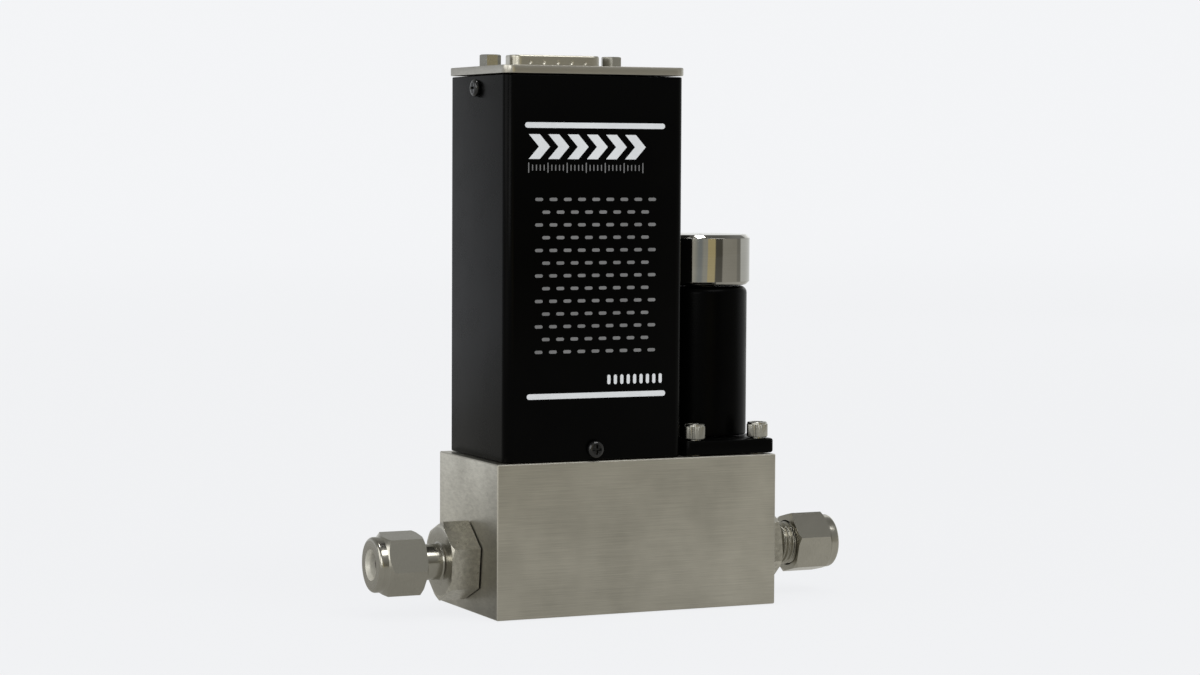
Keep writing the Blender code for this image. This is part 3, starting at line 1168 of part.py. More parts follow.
def valve_flange():
    """Black plate that clamps the stem's collar, with rounded corners and four screw holes."""
    outline = rounded(rectangle(FLANGE_WIDTH, FLANGE_DEPTH, FLANGE_CORNER))
    flange = placed(extruded("valve_flange", outline, FLANGE_FOOT, FLANGE_TOP, "black_satin_paint"),
                    (VALVE_X, 0.0, 0.0))
    broken_edges(flange, FLANGE_EDGE)
    bottom, top = FLANGE_FOOT - PAST, FLANGE_TOP + PAST
    cut(flange, drill("cut_flange_bore", STEM_RADIUS + GAP, bottom, top, (VALVE_X, 0.0, 0.0),
                      steps=ROUND_STEPS))
    for i, (x, y) in enumerate(flange_screw_places()):
        cut(flange, drill(f"cut_flange_hole_{i + 1}", FLANGE_SCREW_RADIUS + GAP, bottom, top, (x, y, 0.0)))
        cap_screw(f"flange_screw_{i + 1}", (x, y, FLANGE_TOP + GAP), CAP_HEAD_RADIUS, CAP_HEAD_HEIGHT,
                  FLANGE_SCREW_RADIUS, FLANGE_THICKNESS + 2.0 * GAP + FLANGE_SCREW_REACH - GAP)
    return flange


def valve_stem():
    """Turned stem: sealing collar, tube round the plunger, solid pole and the nut's stud."""
    foot = COLLAR_FLOOR + GAP
    crown = COIL_CROWN - GAP
    bore = STEM_BORE_RADIUS
    section = [
        (bore, foot), (STEM_COLLAR_RADIUS, foot), (STEM_COLLAR_RADIUS, BLOCK_HEIGHT),
        (STEM_RADIUS, BLOCK_HEIGHT), (STEM_RADIUS, crown), (STEM_STUD_RADIUS, crown),
        (STEM_STUD_RADIUS, crown + STEM_STUD_LENGTH), (0.0, crown + STEM_STUD_LENGTH),
        (0.0, POLE_FACE), (bore, POLE_FACE),
    ]
    return placed(turned("valve_stem", section, "turned_stainless"), (VALVE_X, 0.0, 0.0))


def valve_plunger():
    """Magnetic plunger with the spring's guide on top and a pocket below for the soft seat."""
    pocket = SEAT_RADIUS + GAP
    pocket_top = SEAT_FOOT + SEAT_THICKNESS + GAP
    guide_top = POLE_FACE - PLUNGER_AIR_GAP
    edge = GAP
    section = [
        (0.0, pocket_top), (pocket, pocket_top), (pocket, PLUNGER_BASE),
        (PLUNGER_RADIUS - edge, PLUNGER_BASE), (PLUNGER_RADIUS, PLUNGER_BASE + edge),
        (PLUNGER_RADIUS, PLUNGER_SHOULDER - edge), (PLUNGER_RADIUS - edge, PLUNGER_SHOULDER),
        (PLUNGER_GUIDE_RADIUS, PLUNGER_SHOULDER), (PLUNGER_GUIDE_RADIUS, guide_top), (0.0, guide_top),
    ]
    plunger = turned("valve_plunger", section, "polished_steel", SMALL_STEPS)
    face = [(0.0, SEAT_FOOT), (SEAT_RADIUS, SEAT_FOOT), (SEAT_RADIUS, SEAT_FOOT + SEAT_THICKNESS),
            (0.0, SEAT_FOOT + SEAT_THICKNESS)]
    seat = turned("plunger_seat", face, "seal_rubber", SMALL_STEPS)
    lift = bpy.data.objects.new("valve_lift", None)
    bpy.context.scene.collection.objects.link(lift)
    lift.location = (VALVE_X, 0.0, 0.0)
    plunger.parent = lift
    seat.parent = lift


def plunger_spring():
    """Compression spring between the plunger's shoulder and the pole, a helix with level ends."""
    low = PLUNGER_SHOULDER + GAP + SPRING_WIRE_RADIUS
    high = POLE_FACE - GAP - SPRING_WIRE_RADIUS
    steps = SPRING_STEPS * SPRING_TURNS
    path = []
    for k in range(steps + 1):
        share = k / steps
        turn = 2.0 * pi * SPRING_TURNS * share
        level = min(max((share * SPRING_TURNS - 0.5) / (SPRING_TURNS - 1.0), 0.0), 1.0)
        path.append((VALVE_X + SPRING_RADIUS * cos(turn), SPRING_RADIUS * sin(turn),
                     low + (high - low) * level))
    return swept("plunger_spring", path, SPRING_WIRE_RADIUS, "polished_steel", 5)


def valve_orifice():
    """Jet with its raised seat land and the groove for its own seal."""
    groove_root = ORIFICE_RADIUS - 2.0 * ORIFICE_SEAL_SECTION - GAP
    middle = ORIFICE_FOOT + ORIFICE_HEIGHT / 2.0
    half = ORIFICE_SEAL_SECTION + GAP
    nose = CAVITY_FLOOR + ORIFICE_NOSE_HEIGHT
    section = [
        (ORIFICE_BORE_RADIUS, ORIFICE_FOOT), (ORIFICE_RADIUS, ORIFICE_FOOT), (ORIFICE_RADIUS, middle - half),
        (groove_root, middle - half), (groove_root, middle + half), (ORIFICE_RADIUS, middle + half),
        (ORIFICE_RADIUS, CAVITY_FLOOR), (ORIFICE_NOSE_RADIUS, CAVITY_FLOOR),
        (ORIFICE_LAND_RADIUS, nose), (ORIFICE_BORE_RADIUS, nose),
    ]
    place = (VALVE_X, 0.0, 0.0)
    placed(turned("valve_orifice", section, "turned_stainless", TINY_STEPS), place)
    seal_ring("orifice_seal", ORIFICE_RADIUS - ORIFICE_SEAL_SECTION, ORIFICE_SEAL_SECTION, middle, place)


def coil():
    """Bobbin and winding inside a drawn steel can with a rounded shoulder."""
    place = (VALVE_X, 0.0, 0.0)
    ceiling = COIL_CROWN - COIL_TOP
    foot, crown = COIL_FOOT, ceiling - GAP
    bore = STEM_RADIUS + GAP
    barrel = bore + BOBBIN_WALL
    lower, upper = foot + BOBBIN_FLANGE_THICKNESS, crown - BOBBIN_FLANGE_THICKNESS
    spool = [
        (bore, foot), (BOBBIN_FLANGE_RADIUS, foot), (BOBBIN_FLANGE_RADIUS, lower), (barrel, lower),
        (barrel, upper), (BOBBIN_FLANGE_RADIUS, upper), (BOBBIN_FLANGE_RADIUS, crown), (bore, crown),
    ]
    placed(turned("coil_bobbin", spool, "black_plastic", SMALL_STEPS), place)
    wire = [(barrel + GAP, lower + GAP), (COIL_WINDING_RADIUS, lower + GAP),
            (COIL_WINDING_RADIUS, upper - GAP), (barrel + GAP, upper - GAP)]
    placed(turned("coil_winding", wire, "copper_wire", SMALL_STEPS), place)
    inner = COIL_RADIUS - COIL_WALL
    can = rounded([
        (inner, COIL_FOOT, 0.0), (COIL_RADIUS, COIL_FOOT, 0.0), (COIL_RADIUS, COIL_CROWN, COIL_SHOULDER),
        (bore, COIL_CROWN, 0.0), (bore, ceiling, 0.0), (inner, ceiling, COIL_WALL / 2.0),
    ], 3)
    housing = placed(turned("coil_housing", can, "black_satin_paint", FINE_STEPS), place)
    hole = drill("cut_coil_lead_hole", COIL_LEAD_RADIUS + GAP, inner - PAST, COIL_RADIUS + PAST,
                 (VALVE_X, 0.0, COIL_LEAD_Z), FACING_INLET)
    cut(housing, hole)


def coil_nut():
    """Round nut that holds the coil down, chamfered on both edges, with a blind thread."""
    foot = COIL_CROWN + GAP
    crown = foot + ROUND_NUT_HEIGHT
    chamfer = ROUND_NUT_CHAMFER
    bore = STEM_STUD_RADIUS + GAP
    ceiling = COIL_CROWN - GAP + STEM_STUD_LENGTH + GAP
    section = [
        (bore, foot), (ROUND_NUT_RADIUS - chamfer, foot), (ROUND_NUT_RADIUS, foot + chamfer),
        (ROUND_NUT_RADIUS, crown - chamfer), (ROUND_NUT_RADIUS - chamfer, crown), (0.0, crown),
        (0.0, ceiling), (bore, ceiling),
    ]
    return placed(turned("coil_nut", section, "polished_steel", FINE_STEPS), (VALVE_X, 0.0, 0.0))


def socket_place():
    """Centre of the lead socket on the board's front."""
    return (COVER_X + LEAD_SOCKET_SHIFT, BOARD_FRONT - GAP - LEAD_SOCKET_DEPTH / 2.0,
            BOARD_FOOT + LEAD_SOCKET_RISE)


def coil_lead():
    """Lead from the winding through the coil's can and the cover's wall, up to the socket."""
    x, y, z = socket_place()
    inside = COVER_RIGHT - COVER_WALL
    straight_end = inside - COIL_LEAD_STRAIGHT
    below = z - LEAD_SOCKET_HEIGHT / 2.0 - GAP
    corners = [
        (VALVE_X - COIL_WINDING_RADIUS - GAP, 0.0, COIL_LEAD_Z), (inside, 0.0, COIL_LEAD_Z),
        (straight_end, 0.0, COIL_LEAD_Z),
        (straight_end - COIL_LEAD_TURN, LEAD_SWING, COIL_LEAD_Z + COIL_LEAD_LIFT),
        (x + LEAD_SWING, y - LEAD_SWING, below - COIL_LEAD_DROP), (x + LEAD_SPLAY, y, below),
    ]
    return swept("coil_lead", smooth_route(corners, COIL_LEAD_SPACING), COIL_LEAD_RADIUS, "seal_rubber", 7)


def lead_grommet():
    """Grommet for the coil's lead, gripping the cover's wall between two rims."""
    bore = COIL_LEAD_RADIUS + GAP
    neck = bore + GROMMET_WALL
    brim = neck + GROMMET_FLANGE
    outside = GAP + GROMMET_FLANGE_THICKNESS
    rear = COVER_WALL + outside
    section = [
        (bore, -rear), (brim, -rear), (brim, -COVER_WALL - GAP), (neck, -COVER_WALL - GAP), (neck, GAP),
        (brim, GAP), (brim, outside), (bore, outside),
    ]
    grommet = turned("coil_lead_grommet", section, "seal_rubber", TINY_STEPS)
    return placed(grommet, (COVER_RIGHT, 0.0, COIL_LEAD_Z), FACING_OUTLET)


def sensor_lead():
    """Lead from the windings through the sensor can's rear wall to the side of the socket."""
    x, y, z = socket_place()
    beside = x - LEAD_SOCKET_WIDTH / 2.0 - GAP
    back = SENSOR_COVER_DEPTH / 2.0
    corners = [
        (COVER_X, WINDING_RADIUS + GAP, SENSOR_TUBE_TOP), (COVER_X, back, SENSOR_TUBE_TOP),
        (COVER_X + LEAD_SWING, back + SENSOR_LEAD_REACH, SENSOR_TUBE_TOP + SENSOR_LEAD_RISE),
        (beside - LEAD_STRAIGHT_END, y, z), (beside, y, z),
    ]
    return swept("sensor_lead", smooth_route(corners, SENSOR_LEAD_SPACING), SENSOR_LEAD_RADIUS,
                 "seal_rubber", 6)


def control_valve():
    """The normally closed solenoid valve on the outlet end of the block."""
    valve_orifice()
    seal_middle = COLLAR_FLOOR - STEM_SEAL_SECTION
    seal_ring("stem_seal", STEM_SEAL_RADIUS, STEM_SEAL_SECTION, seal_middle, (VALVE_X, 0.0, 0.0))
    valve_stem()
    valve_plunger()
    plunger_spring()
    valve_flange()
    coil()
    coil_nut()


def gather():
    """Parent every loose object to one empty at the part's origin."""
    origin = bpy.data.objects.new("mass_flow_controller", None)
    bpy.context.scene.collection.objects.link(origin)
    for item in bpy.data.objects:
        if item.parent is None and item is not origin:
            item.parent = origin


def build():
    """Model the whole controller."""
    clear_scene()
    body_block()
    flow_restrictor()
    fittings()
    flow_sensor()
    electronics()
    cover_assembly()
    control_valve()
    coil_lead()
    lead_grommet()
    sensor_lead()
    gather()


build()
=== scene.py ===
import json
from math import cos, pi, radians, sin, tan

import bmesh
import bpy
import numpy as np
from mathutils import Matrix, Vector

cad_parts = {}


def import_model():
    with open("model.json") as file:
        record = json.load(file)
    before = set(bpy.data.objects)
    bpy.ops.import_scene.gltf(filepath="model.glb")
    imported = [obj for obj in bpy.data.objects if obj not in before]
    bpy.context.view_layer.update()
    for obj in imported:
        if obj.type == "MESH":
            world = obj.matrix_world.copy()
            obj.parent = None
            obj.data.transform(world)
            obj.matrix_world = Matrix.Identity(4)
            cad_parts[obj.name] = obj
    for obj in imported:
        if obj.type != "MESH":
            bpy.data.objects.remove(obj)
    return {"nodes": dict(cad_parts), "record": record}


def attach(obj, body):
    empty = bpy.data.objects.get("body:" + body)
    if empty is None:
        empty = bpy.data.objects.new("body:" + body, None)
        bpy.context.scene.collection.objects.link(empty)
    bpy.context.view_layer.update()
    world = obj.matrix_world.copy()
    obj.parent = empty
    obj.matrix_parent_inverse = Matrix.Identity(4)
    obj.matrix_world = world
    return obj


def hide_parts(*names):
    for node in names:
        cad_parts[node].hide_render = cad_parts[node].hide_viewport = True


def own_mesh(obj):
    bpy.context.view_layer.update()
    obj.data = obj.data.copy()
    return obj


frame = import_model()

# Sizes are in millimetres, in the CAD's frame, and MM turns them into metres
MM = 0.001
BODY = "controller"

# Block, gas ports and fittings
BLOCK_END = 38.1
PORT_HEIGHT = 12.7
ADAPTER_FLATS = 17.46
NUT_FLATS = 14.29

# Cover and end plate
COVER_X = -11.9
COVER_WIDTH = 48.0
COVER_DEPTH = 36.7
COVER_CORNER = 2.3
COVER_FRONT = -18.35
COVER_FOOT = 38.4
COVER_TOP = 132.6
PLATE_WIDTH = 48.8
PLATE_DEPTH = 37.5
PLATE_CORNER = 2.7
PLATE_FOOT = 132.9
PLATE_TOP = 134.9

# Connector; its insert is moulding between the foot and the face, and contacts outside them
CONNECTOR_Y = 9.35
CONNECTOR_TOP = 138.2
SHELL_WIDTH = 25.25
SHELL_DEPTH = 8.36
INSERT_FACE = 134.3
INSERT_FOOT = 127.6
JACKSCREW_REACH = 16.65

# Valve
VALVE_X = 25.75
FLANGE_WIDTH = 24.7
FLANGE_DEPTH = 36.4
FLANGE_FOOT = 38.4
FLANGE_TOP = 42.0
COIL_FOOT = 42.3
COIL_TOP = 80.2
STEM_HOLE = 5.05

# Shading turns sharp past this angle, and a softened edge starts past this one
SHARP_ANGLE = radians(32.0)
SOFTEN_ANGLE = radians(22.0)

# Points closer than this, in metres, are one point
SAME_PLACE = 0.000002

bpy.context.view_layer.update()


# Shapes

def turns(count, start=0.0):
    """Angles spread evenly round a circle, from a starting angle."""
    return start + 2.0 * pi * np.arange(count) / count


def unit(vectors):
    """Each row of an array scaled to length one."""
    return vectors / np.linalg.norm(vectors, axis=-1, keepdims=True)


def rounded(corners, steps):
    """Outline through (a, b, radius) corners.

    At a rounded corner the arc's centre lies on the bisector, a radius over the sine of the half angle away,
    and the arc's points are the spokes interpolated evenly between the two tangent points.
    """
    here = np.array([corner[:2] for corner in corners], float)
    radius = np.array([corner[2] for corner in corners], float)
    before = unit(np.roll(here, 1, axis=0) - here)
    after = unit(np.roll(here, -1, axis=0) - here)
    half = np.arccos(np.clip((before * after).sum(axis=1), -1.0, 1.0)) / 2.0
    points = []
    share = np.linspace(0.0, 1.0, steps + 1)[:, None]
    for k, size in enumerate(radius):
        if size <= 0.0:
            points.append(here[k:k + 1])
            continue
        centre = here[k] + unit(before[k] + after[k]) * size / sin(half[k])
        first = here[k] + before[k] * size / tan(half[k]) - centre
        last = here[k] + after[k] * size / tan(half[k]) - centre
        sweep = pi - 2.0 * half[k]
        spokes = first * np.sin((1.0 - share) * sweep) + last * np.sin(share * sweep)
        points.append(centre + spokes / sin(sweep))
    return np.vstack(points)


def rectangle(width, depth, corner, steps):
    """Centred rectangle with rounded corners, as an outline."""
    a, b = width / 2.0, depth / 2.0
    return rounded([(-a, -b, corner), (a, -b, corner), (a, b, corner), (-a, b, corner)], steps)


def hexagon_radius(theta, flats, corner):
    """Distance from a hexagon's centre to its side: half the flats over the cosine of the angle from a flat."""
    return flats / 2.0 / np.cos((theta - corner) % (pi / 3.0) - pi / 6.0)


def rows_over(theta, pairs):
    """Two arrays of rows by angles from (height, radius) pairs, each value a number or an array over theta."""
    heights = np.stack([np.broadcast_to(np.asarray(h, float), theta.shape) for h, _ in pairs])
    radii = np.stack([np.broadcast_to(np.asarray(r, float), theta.shape) for _, r in pairs])
    return heights, radii


def grid_faces(rows, columns, looped):
    """Quads between neighbouring rows and columns; columns always close round, rows close if looped."""
    index = np.arange(rows * columns).reshape(rows, columns)
    index = np.hstack([index, index[:, :1]])
    if looped:
        index = np.vstack([index, index[:1]])
    return np.stack([index[:-1, :-1], index[:-1, 1:], index[1:, 1:], index[1:, :-1]], axis=-1).reshape(-1, 4)


def fan_faces(ring, pole):
    """Triangles from a ring of vertices to one point."""
    return np.stack([ring, np.roll(ring, -1), np.full(len(ring), pole)], axis=-1)


def enclosed_volume(points, faces):
    """Signed volume: a sixth of the sum of each triangle's triple product."""
    total = 0.0
    for corners in faces:
        for k in range(1, corners.shape[1] - 1):
            a, b, c = points[corners[:, 0]], points[corners[:, k]], points[corners[:, k + 1]]
            total += float((a * np.cross(b, c)).sum()) / 6.0
    return total


def piece(name, points, faces, finish, replaced=(), soften=0.0):
    """A mesh object from points in millimetres and arrays of faces, turned outwards, riding on the body."""
    if enclosed_volume(points, faces) < 0.0:
        faces = [corners[:, ::-1] for corners in faces]
    mesh = bpy.data.meshes.new(name)
    mesh.from_pydata((points * MM).tolist(), [], [face for corners in faces for face in corners.tolist()])
    joined = bmesh.new()
    joined.from_mesh(mesh)
    bmesh.ops.remove_doubles(joined, verts=joined.verts, dist=SAME_PLACE)
    joined.to_mesh(mesh)
    joined.free()
    mesh.shade_smooth()
    item = bpy.data.objects.new(name, mesh)
    bpy.context.scene.collection.objects.link(item)
    if soften > 0.0:
        edges = item.modifiers.new("softened_edges", "BEVEL")
        edges.width = soften * MM
        edges.segments = 2
        edges.limit_method = "ANGLE"
        edges.angle_limit = SOFTEN_ANGLE
        edges.harden_normals = True
    else:
        mesh.set_sharp_from_angle(angle=SHARP_ANGLE)
    mesh.materials.append(finish)
    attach(item, BODY)
    if replaced:
        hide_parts(*replaced)
    return item


def surface(name, grid, finish, replaced=(), ends="loop", soften=0.0):
    """A mesh over rows of points that close round; the end rows join up, or each closes on its centre."""
    rows, columns = grid.shape[:2]
    points = grid.reshape(-1, 3)
    faces = [grid_faces(rows, columns, ends == "loop")]
    if ends == "poles":
        poles = np.stack([grid[0].mean(axis=0), grid[-1].mean(axis=0)])
        first = np.arange(columns)
        caps = np.vstack([fan_faces(first[::-1], rows * columns),
                          fan_faces(first + (rows - 1) * columns, rows * columns + 1)])
        points = np.vstack([points, poles])
        faces.append(caps)
    return piece(name, points, faces, finish, replaced, soften)


def about_port(side, theta, pairs):
    """Points round a gas port: theta is the elevation from -Y, heights run outward from the block's end."""
    heights, radii = rows_over(theta, pairs)
    return np.stack([side * (BLOCK_END + heights), -radii * np.cos(theta),
                     PORT_HEIGHT + radii * np.sin(theta)], axis=-1)


def about_upright(x, y, theta, pairs):
    """Points round an upright axis: theta runs from +X towards +Y, heights are places above the floor."""
    heights, radii = rows_over(theta, pairs)
    return np.stack([x + radii * np.cos(theta), y + radii * np.sin(theta), heights], axis=-1)


def lofted(outlines, heights, x=0.0, y=0.0):
    """Flat outlines with equal point counts, stacked at their heights."""
    return np.stack([np.column_stack([outline[:, 0] + x, outline[:, 1] + y, np.full(len(outline), height)])
                     for outline, height in zip(outlines, heights)])


def profile_pairs(corners, steps):
    """(height, radius) pairs from (radius, height, rounding) corners of a closed section."""
    return [(h, r) for r, h in rounded(corners, steps)]


# Shader helpers

def add(tree, kind, values=None, **settings):
    """Add a node, set its properties and then its input values by name."""
    item = tree.nodes.new(kind)
    for key, value in settings.items():
        setattr(item, key, value)
    for key, value in (values or {}).items():
        item.inputs[key].default_value = value
    return item


def feed(tree, target, value):
    """Link a socket to an input, or set the input to a plain value."""
    if isinstance(value, bpy.types.NodeSocket):
        tree.links.new(value, target)
    else:
        target.default_value = value


def calc(tree, operation, *values, kind="ShaderNodeMath"):
    """The result of a Math node, or of a Vector Math node."""
    item = add(tree, kind, operation=operation)
    for target, value in zip(item.inputs, values):
        feed(tree, target, value)
    return item.outputs[0]


def spread(tree, value, low, high):
    """Map 0..1 to low..high."""
    item = add(tree, "ShaderNodeMapRange")
    feed(tree, item.inputs["Value"], value)
    feed(tree, item.inputs["To Min"], low)
    feed(tree, item.inputs["To Max"], high)
    return item.outputs["Result"]


def window(tree, value, low, high):
    """Map low..high to 0..1, held at both ends."""
    item = add(tree, "ShaderNodeMapRange", {"From Min": low, "From Max": high})
    feed(tree, item.inputs["Value"], value)
    return item.outputs["Result"]


def tint(tree, factor, first, second):
    """Blend of two colours."""
    item = add(tree, "ShaderNodeMix", data_type="RGBA")
    feed(tree, item.inputs["Factor"], factor)
    for name, colour in (("A", first), ("B", second)):
        socket = next(s for s in item.inputs if s.name == name and s.type == "RGBA")
        feed(tree, socket, colour if isinstance(colour, bpy.types.NodeSocket) else (*colour, 1.0))
    return next(s for s in item.outputs if s.type == "RGBA")


def speckle(tree, vector, scale, detail, roughness):
    """Noise texture's value."""
    item = add(tree, "ShaderNodeTexNoise", {"Detail": detail, "Roughness": roughness})
    feed(tree, item.inputs["Scale"], scale)
    feed(tree, item.inputs["Vector"], vector)
    return item.outputs["Fac"]


def split(tree, vector):
    """A vector's X, Y and Z."""
    item = add(tree, "ShaderNodeSeparateXYZ")
    tree.links.new(vector, item.inputs[0])
    return item.outputs


def mixed_noise(tree, slow, fine):
    """Slow stains and fine marks in one value, the fine marks a little stronger."""
    return calc(tree, "MULTIPLY_ADD", slow, 0.45, calc(tree, "MULTIPLY", fine, 0.55))


def new_group(name, inputs, outputs, result="Float"):
    """An empty shader group with named sockets, and its input and output nodes."""
    tree = bpy.data.node_groups.new(name, "ShaderNodeTree")
    for label, kind in inputs.items():
        tree.interface.new_socket(label, in_out="INPUT", socket_type=f"NodeSocket{kind}")
    for label in outputs:
        tree.interface.new_socket(label, in_out="OUTPUT", socket_type=f"NodeSocket{result}")
    return tree, tree.nodes.new("NodeGroupInput"), tree.nodes.new("NodeGroupOutput")


def brushed_group():
    """Streaks from noise stretched along the brushing, with slow clouds under them."""
    inputs = {"Vector": "Vector", "Stretch": "Vector", "Cloud Scale": "Float"}
    tree, given, result = new_group("brushed_grain", inputs, ["Shade", "Height"])
    stretched = calc(tree, "MULTIPLY", given.outputs["Vector"], given.outputs["Stretch"],
                     kind="ShaderNodeVectorMath")
    streaks = speckle(tree, stretched, 1.0, 6.0, 0.78)
    clouds = speckle(tree, given.outputs["Vector"], given.outputs["Cloud Scale"], 3.0, 0.55)
    tree.links.new(mixed_noise(tree, clouds, streaks), result.inputs["Shade"])
    tree.links.new(streaks, result.inputs["Height"])
    return tree


def turned_group():
    """Tool marks of a lathe about X: noise that depends only on the place along the axis and on the radius."""
    inputs = {"Vector": "Vector", "Lines": "Float"}
    tree, given, result = new_group("turned_lines", inputs, ["Shade", "Height", "Radius"])
    place = split(tree, given.outputs["Vector"])
    square = calc(tree, "MULTIPLY", place["Y"], place["Y"])
    radius = calc(tree, "SQRT", calc(tree, "MULTIPLY_ADD", place["Z"], place["Z"], square))
    where = add(tree, "ShaderNodeCombineXYZ")
    tree.links.new(calc(tree, "MULTIPLY", place["X"], given.outputs["Lines"]), where.inputs["X"])
    tree.links.new(calc(tree, "MULTIPLY", radius, given.outputs["Lines"]), where.inputs["Y"])
    marks = speckle(tree, where.outputs[0], 1.0, 3.0, 0.6)
    stains = speckle(tree, given.outputs["Vector"], 260.0, 3.0, 0.6)
    tree.links.new(mixed_noise(tree, stains, marks), result.inputs["Shade"])
    tree.links.new(marks, result.inputs["Height"])
    tree.links.new(radius, result.inputs["Radius"])
    return tree


def grain_group():
    """Fine grain of paint, plating, plastic or rubber: small bumps, and slow patches that change the gloss."""
    inputs = {"Vector": "Vector", "Scale": "Float"}
    tree, given, result = new_group("fine_grain", inputs, ["Shade", "Height"])
    bumps = speckle(tree, given.outputs["Vector"], given.outputs["Scale"], 2.0, 0.5)
    patches = speckle(tree, given.outputs["Vector"], 90.0, 4.0, 0.6)
    tree.links.new(patches, result.inputs["Shade"])
    tree.links.new(bumps, result.inputs["Height"])
    return tree


BRUSHED = brushed_group()
TURNED = turned_group()
GRAIN = grain_group()


def started(name, metallic=0.0, specular=0.5):
    """A material with a Principled shader and its plain values."""
    made = bpy.data.materials.new(name)
    made.use_nodes = True
    shader = made.node_tree.nodes["Principled BSDF"]
    shader.inputs["Metallic"].default_value = metallic
    shader.inputs["Specular IOR Level"].default_value = specular
    return made, made.node_tree, shader


def placed_vector(tree, turn=(0.0, 0.0, 0.0), centre=(0.0, 0.0, 0.0)):
    """Object coordinates moved to a centre in metres and then turned."""
    source = add(tree, "ShaderNodeTexCoord")
    moved = add(tree, "ShaderNodeMapping", {"Location": tuple(-c for c in centre)})
    turned = add(tree, "ShaderNodeMapping", {"Rotation": turn})
    tree.links.new(source.outputs["Object"], moved.inputs["Vector"])
    tree.links.new(moved.outputs["Vector"], turned.inputs["Vector"])
    return turned.outputs["Vector"]


def use_group(tree, group, vector, **values):
    """Place a group, feed it a vector and set its other inputs."""
    item = add(tree, "ShaderNodeGroup", node_tree=group)
    tree.links.new(vector, item.inputs["Vector"])
    for key, value in values.items():
        feed(tree, item.inputs[key.replace("_", " ")], value)
    return item


def raised(tree, shader, effect, height):
    """The effect's height becomes a bump of that many metres."""
    bump = add(tree, "ShaderNodeBump", {"Strength": 1.0, "Distance": height})
    tree.links.new(effect.outputs["Height"], bump.inputs["Height"])
    tree.links.new(bump.outputs["Normal"], shader.inputs["Normal"])


def surface_detail(tree, shader, effect, dark, light, smooth, rough, height, contrast=(0.3, 0.7)):
    """Colour and roughness follow the effect's shade, and its height becomes a bump of that many metres."""
    shade = window(tree, effect.outputs["Shade"], *contrast)
    tree.links.new(tint(tree, shade, dark, light), shader.inputs["Base Color"])
    tree.links.new(spread(tree, shade, rough, smooth), shader.inputs["Roughness"])
    raised(tree, shader, effect, height)


def colour_times(tree, shader, share):
    """Multiply the colour that the shader already gets by a share."""
    plain = shader.inputs["Base Color"].links[0].from_socket
    shaded = calc(tree, "MULTIPLY", plain, share, kind="ShaderNodeVectorMath")
    tree.links.new(shaded, shader.inputs["Base Color"])


def brushed_steel(name, dark, light, smooth, rough, shaded_low_corner=1.0, lit_high_corner=1.0):
    """Ground stainless: streaks along X, and on both ends smeared ones, with painted shade and painted light in
    noisy patches: darker towards the low front corner, lighter towards the high back.
    """
    made, tree, shader = started(name, metallic=1.0)
    vector = placed_vector(tree)
    side_stretch, end_stretch = (60.0, 4200.0, 4200.0), (3000.0, 420.0, 1300.0)
    normal = split(tree, add(tree, "ShaderNodeTexCoord").outputs["Normal"])
    on_end = window(tree, calc(tree, "ABSOLUTE", normal["X"]), 0.6, 0.9)
    stretch = tint(tree, on_end, side_stretch, end_stretch)
    effect = use_group(tree, BRUSHED, vector, Stretch=stretch, Cloud_Scale=55.0)
    surface_detail(tree, shader, effect, dark, light, smooth, rough, 0.004 * MM)
    # Painted shade and painted light, on the ends only: the colour is scaled from the shaded low corner's share
    # at the low front up to the lit high corner's share at the high back
    place = split(tree, vector)
    climb = calc(tree, "MULTIPLY_ADD", place["Y"], 0.8, place["Z"])
    patches = calc(tree, "MULTIPLY_ADD", speckle(tree, vector, 48.0, 3.0, 0.6), 20.0 * MM, climb)
    level = spread(tree, window(tree, patches, 0.0, 40.0 * MM), shaded_low_corner, lit_high_corner)
    colour_times(tree, shader, calc(tree, "MULTIPLY_ADD", on_end, calc(tree, "SUBTRACT", level, 1.0), 1.0))
    return made


def turned_metal(name, dark, light, smooth, rough, turn, centre, lines, height):
    """Turned metal, or a winding, with fine lines round its own axis."""
    made, tree, shader = started(name, metallic=1.0)
    effect = use_group(tree, TURNED, placed_vector(tree, turn, centre), Lines=lines)
    surface_detail(tree, shader, effect, dark, light, smooth, rough, height)
    return made


def fitting_steel(name, dark, light, centre):
    """Bar turned about X: satin neck and nut, duller thread, and paler, mottled flats on the large hexagon."""
    made, tree, shader = started(name, metallic=1.0)
    vector = placed_vector(tree, centre=centre)
    effect = use_group(tree, TURNED, vector, Lines=3600.0)
    surface_detail(tree, shader, effect, dark, light, 0.15, 0.23, 0.0000012, (0.25, 0.75))
    satin = shader.inputs["Roughness"].links[0].from_socket
    radius = effect.outputs["Radius"]
    past_neck = window(tree, radius, 4.52 * MM, 4.80 * MM)
    past_thread = window(tree, radius, 5.70 * MM, 6.70 * MM)
    large_flat = window(tree, radius, 8.30 * MM, 8.60 * MM)
    share = calc(tree, "MULTIPLY_ADD", past_neck, 0.45, 1.05)
    share = calc(tree, "MULTIPLY_ADD", past_thread, -0.50, share)
    share = calc(tree, "MULTIPLY_ADD", large_flat, 0.55, share)
    tree.links.new(calc(tree, "MULTIPLY", satin, share), shader.inputs["Roughness"])
    mottle = spread(tree, window(tree, speckle(tree, vector, 900.0, 4.0, 0.7), 0.35, 0.65), 0.06, 0.52)
    colour_times(tree, shader, calc(tree, "MULTIPLY_ADD", large_flat, mottle, 1.0))
    return made


def grained(name, dark, light, smooth, rough, scale, height, metallic=0.0, specular=0.5):
    """Painted, plated or moulded surface with a fine grain."""
    made, tree, shader = started(name, metallic, specular)
    effect = use_group(tree, GRAIN, placed_vector(tree), Scale=scale)
    surface_detail(tree, shader, effect, dark, light, smooth, rough, height)
    return made


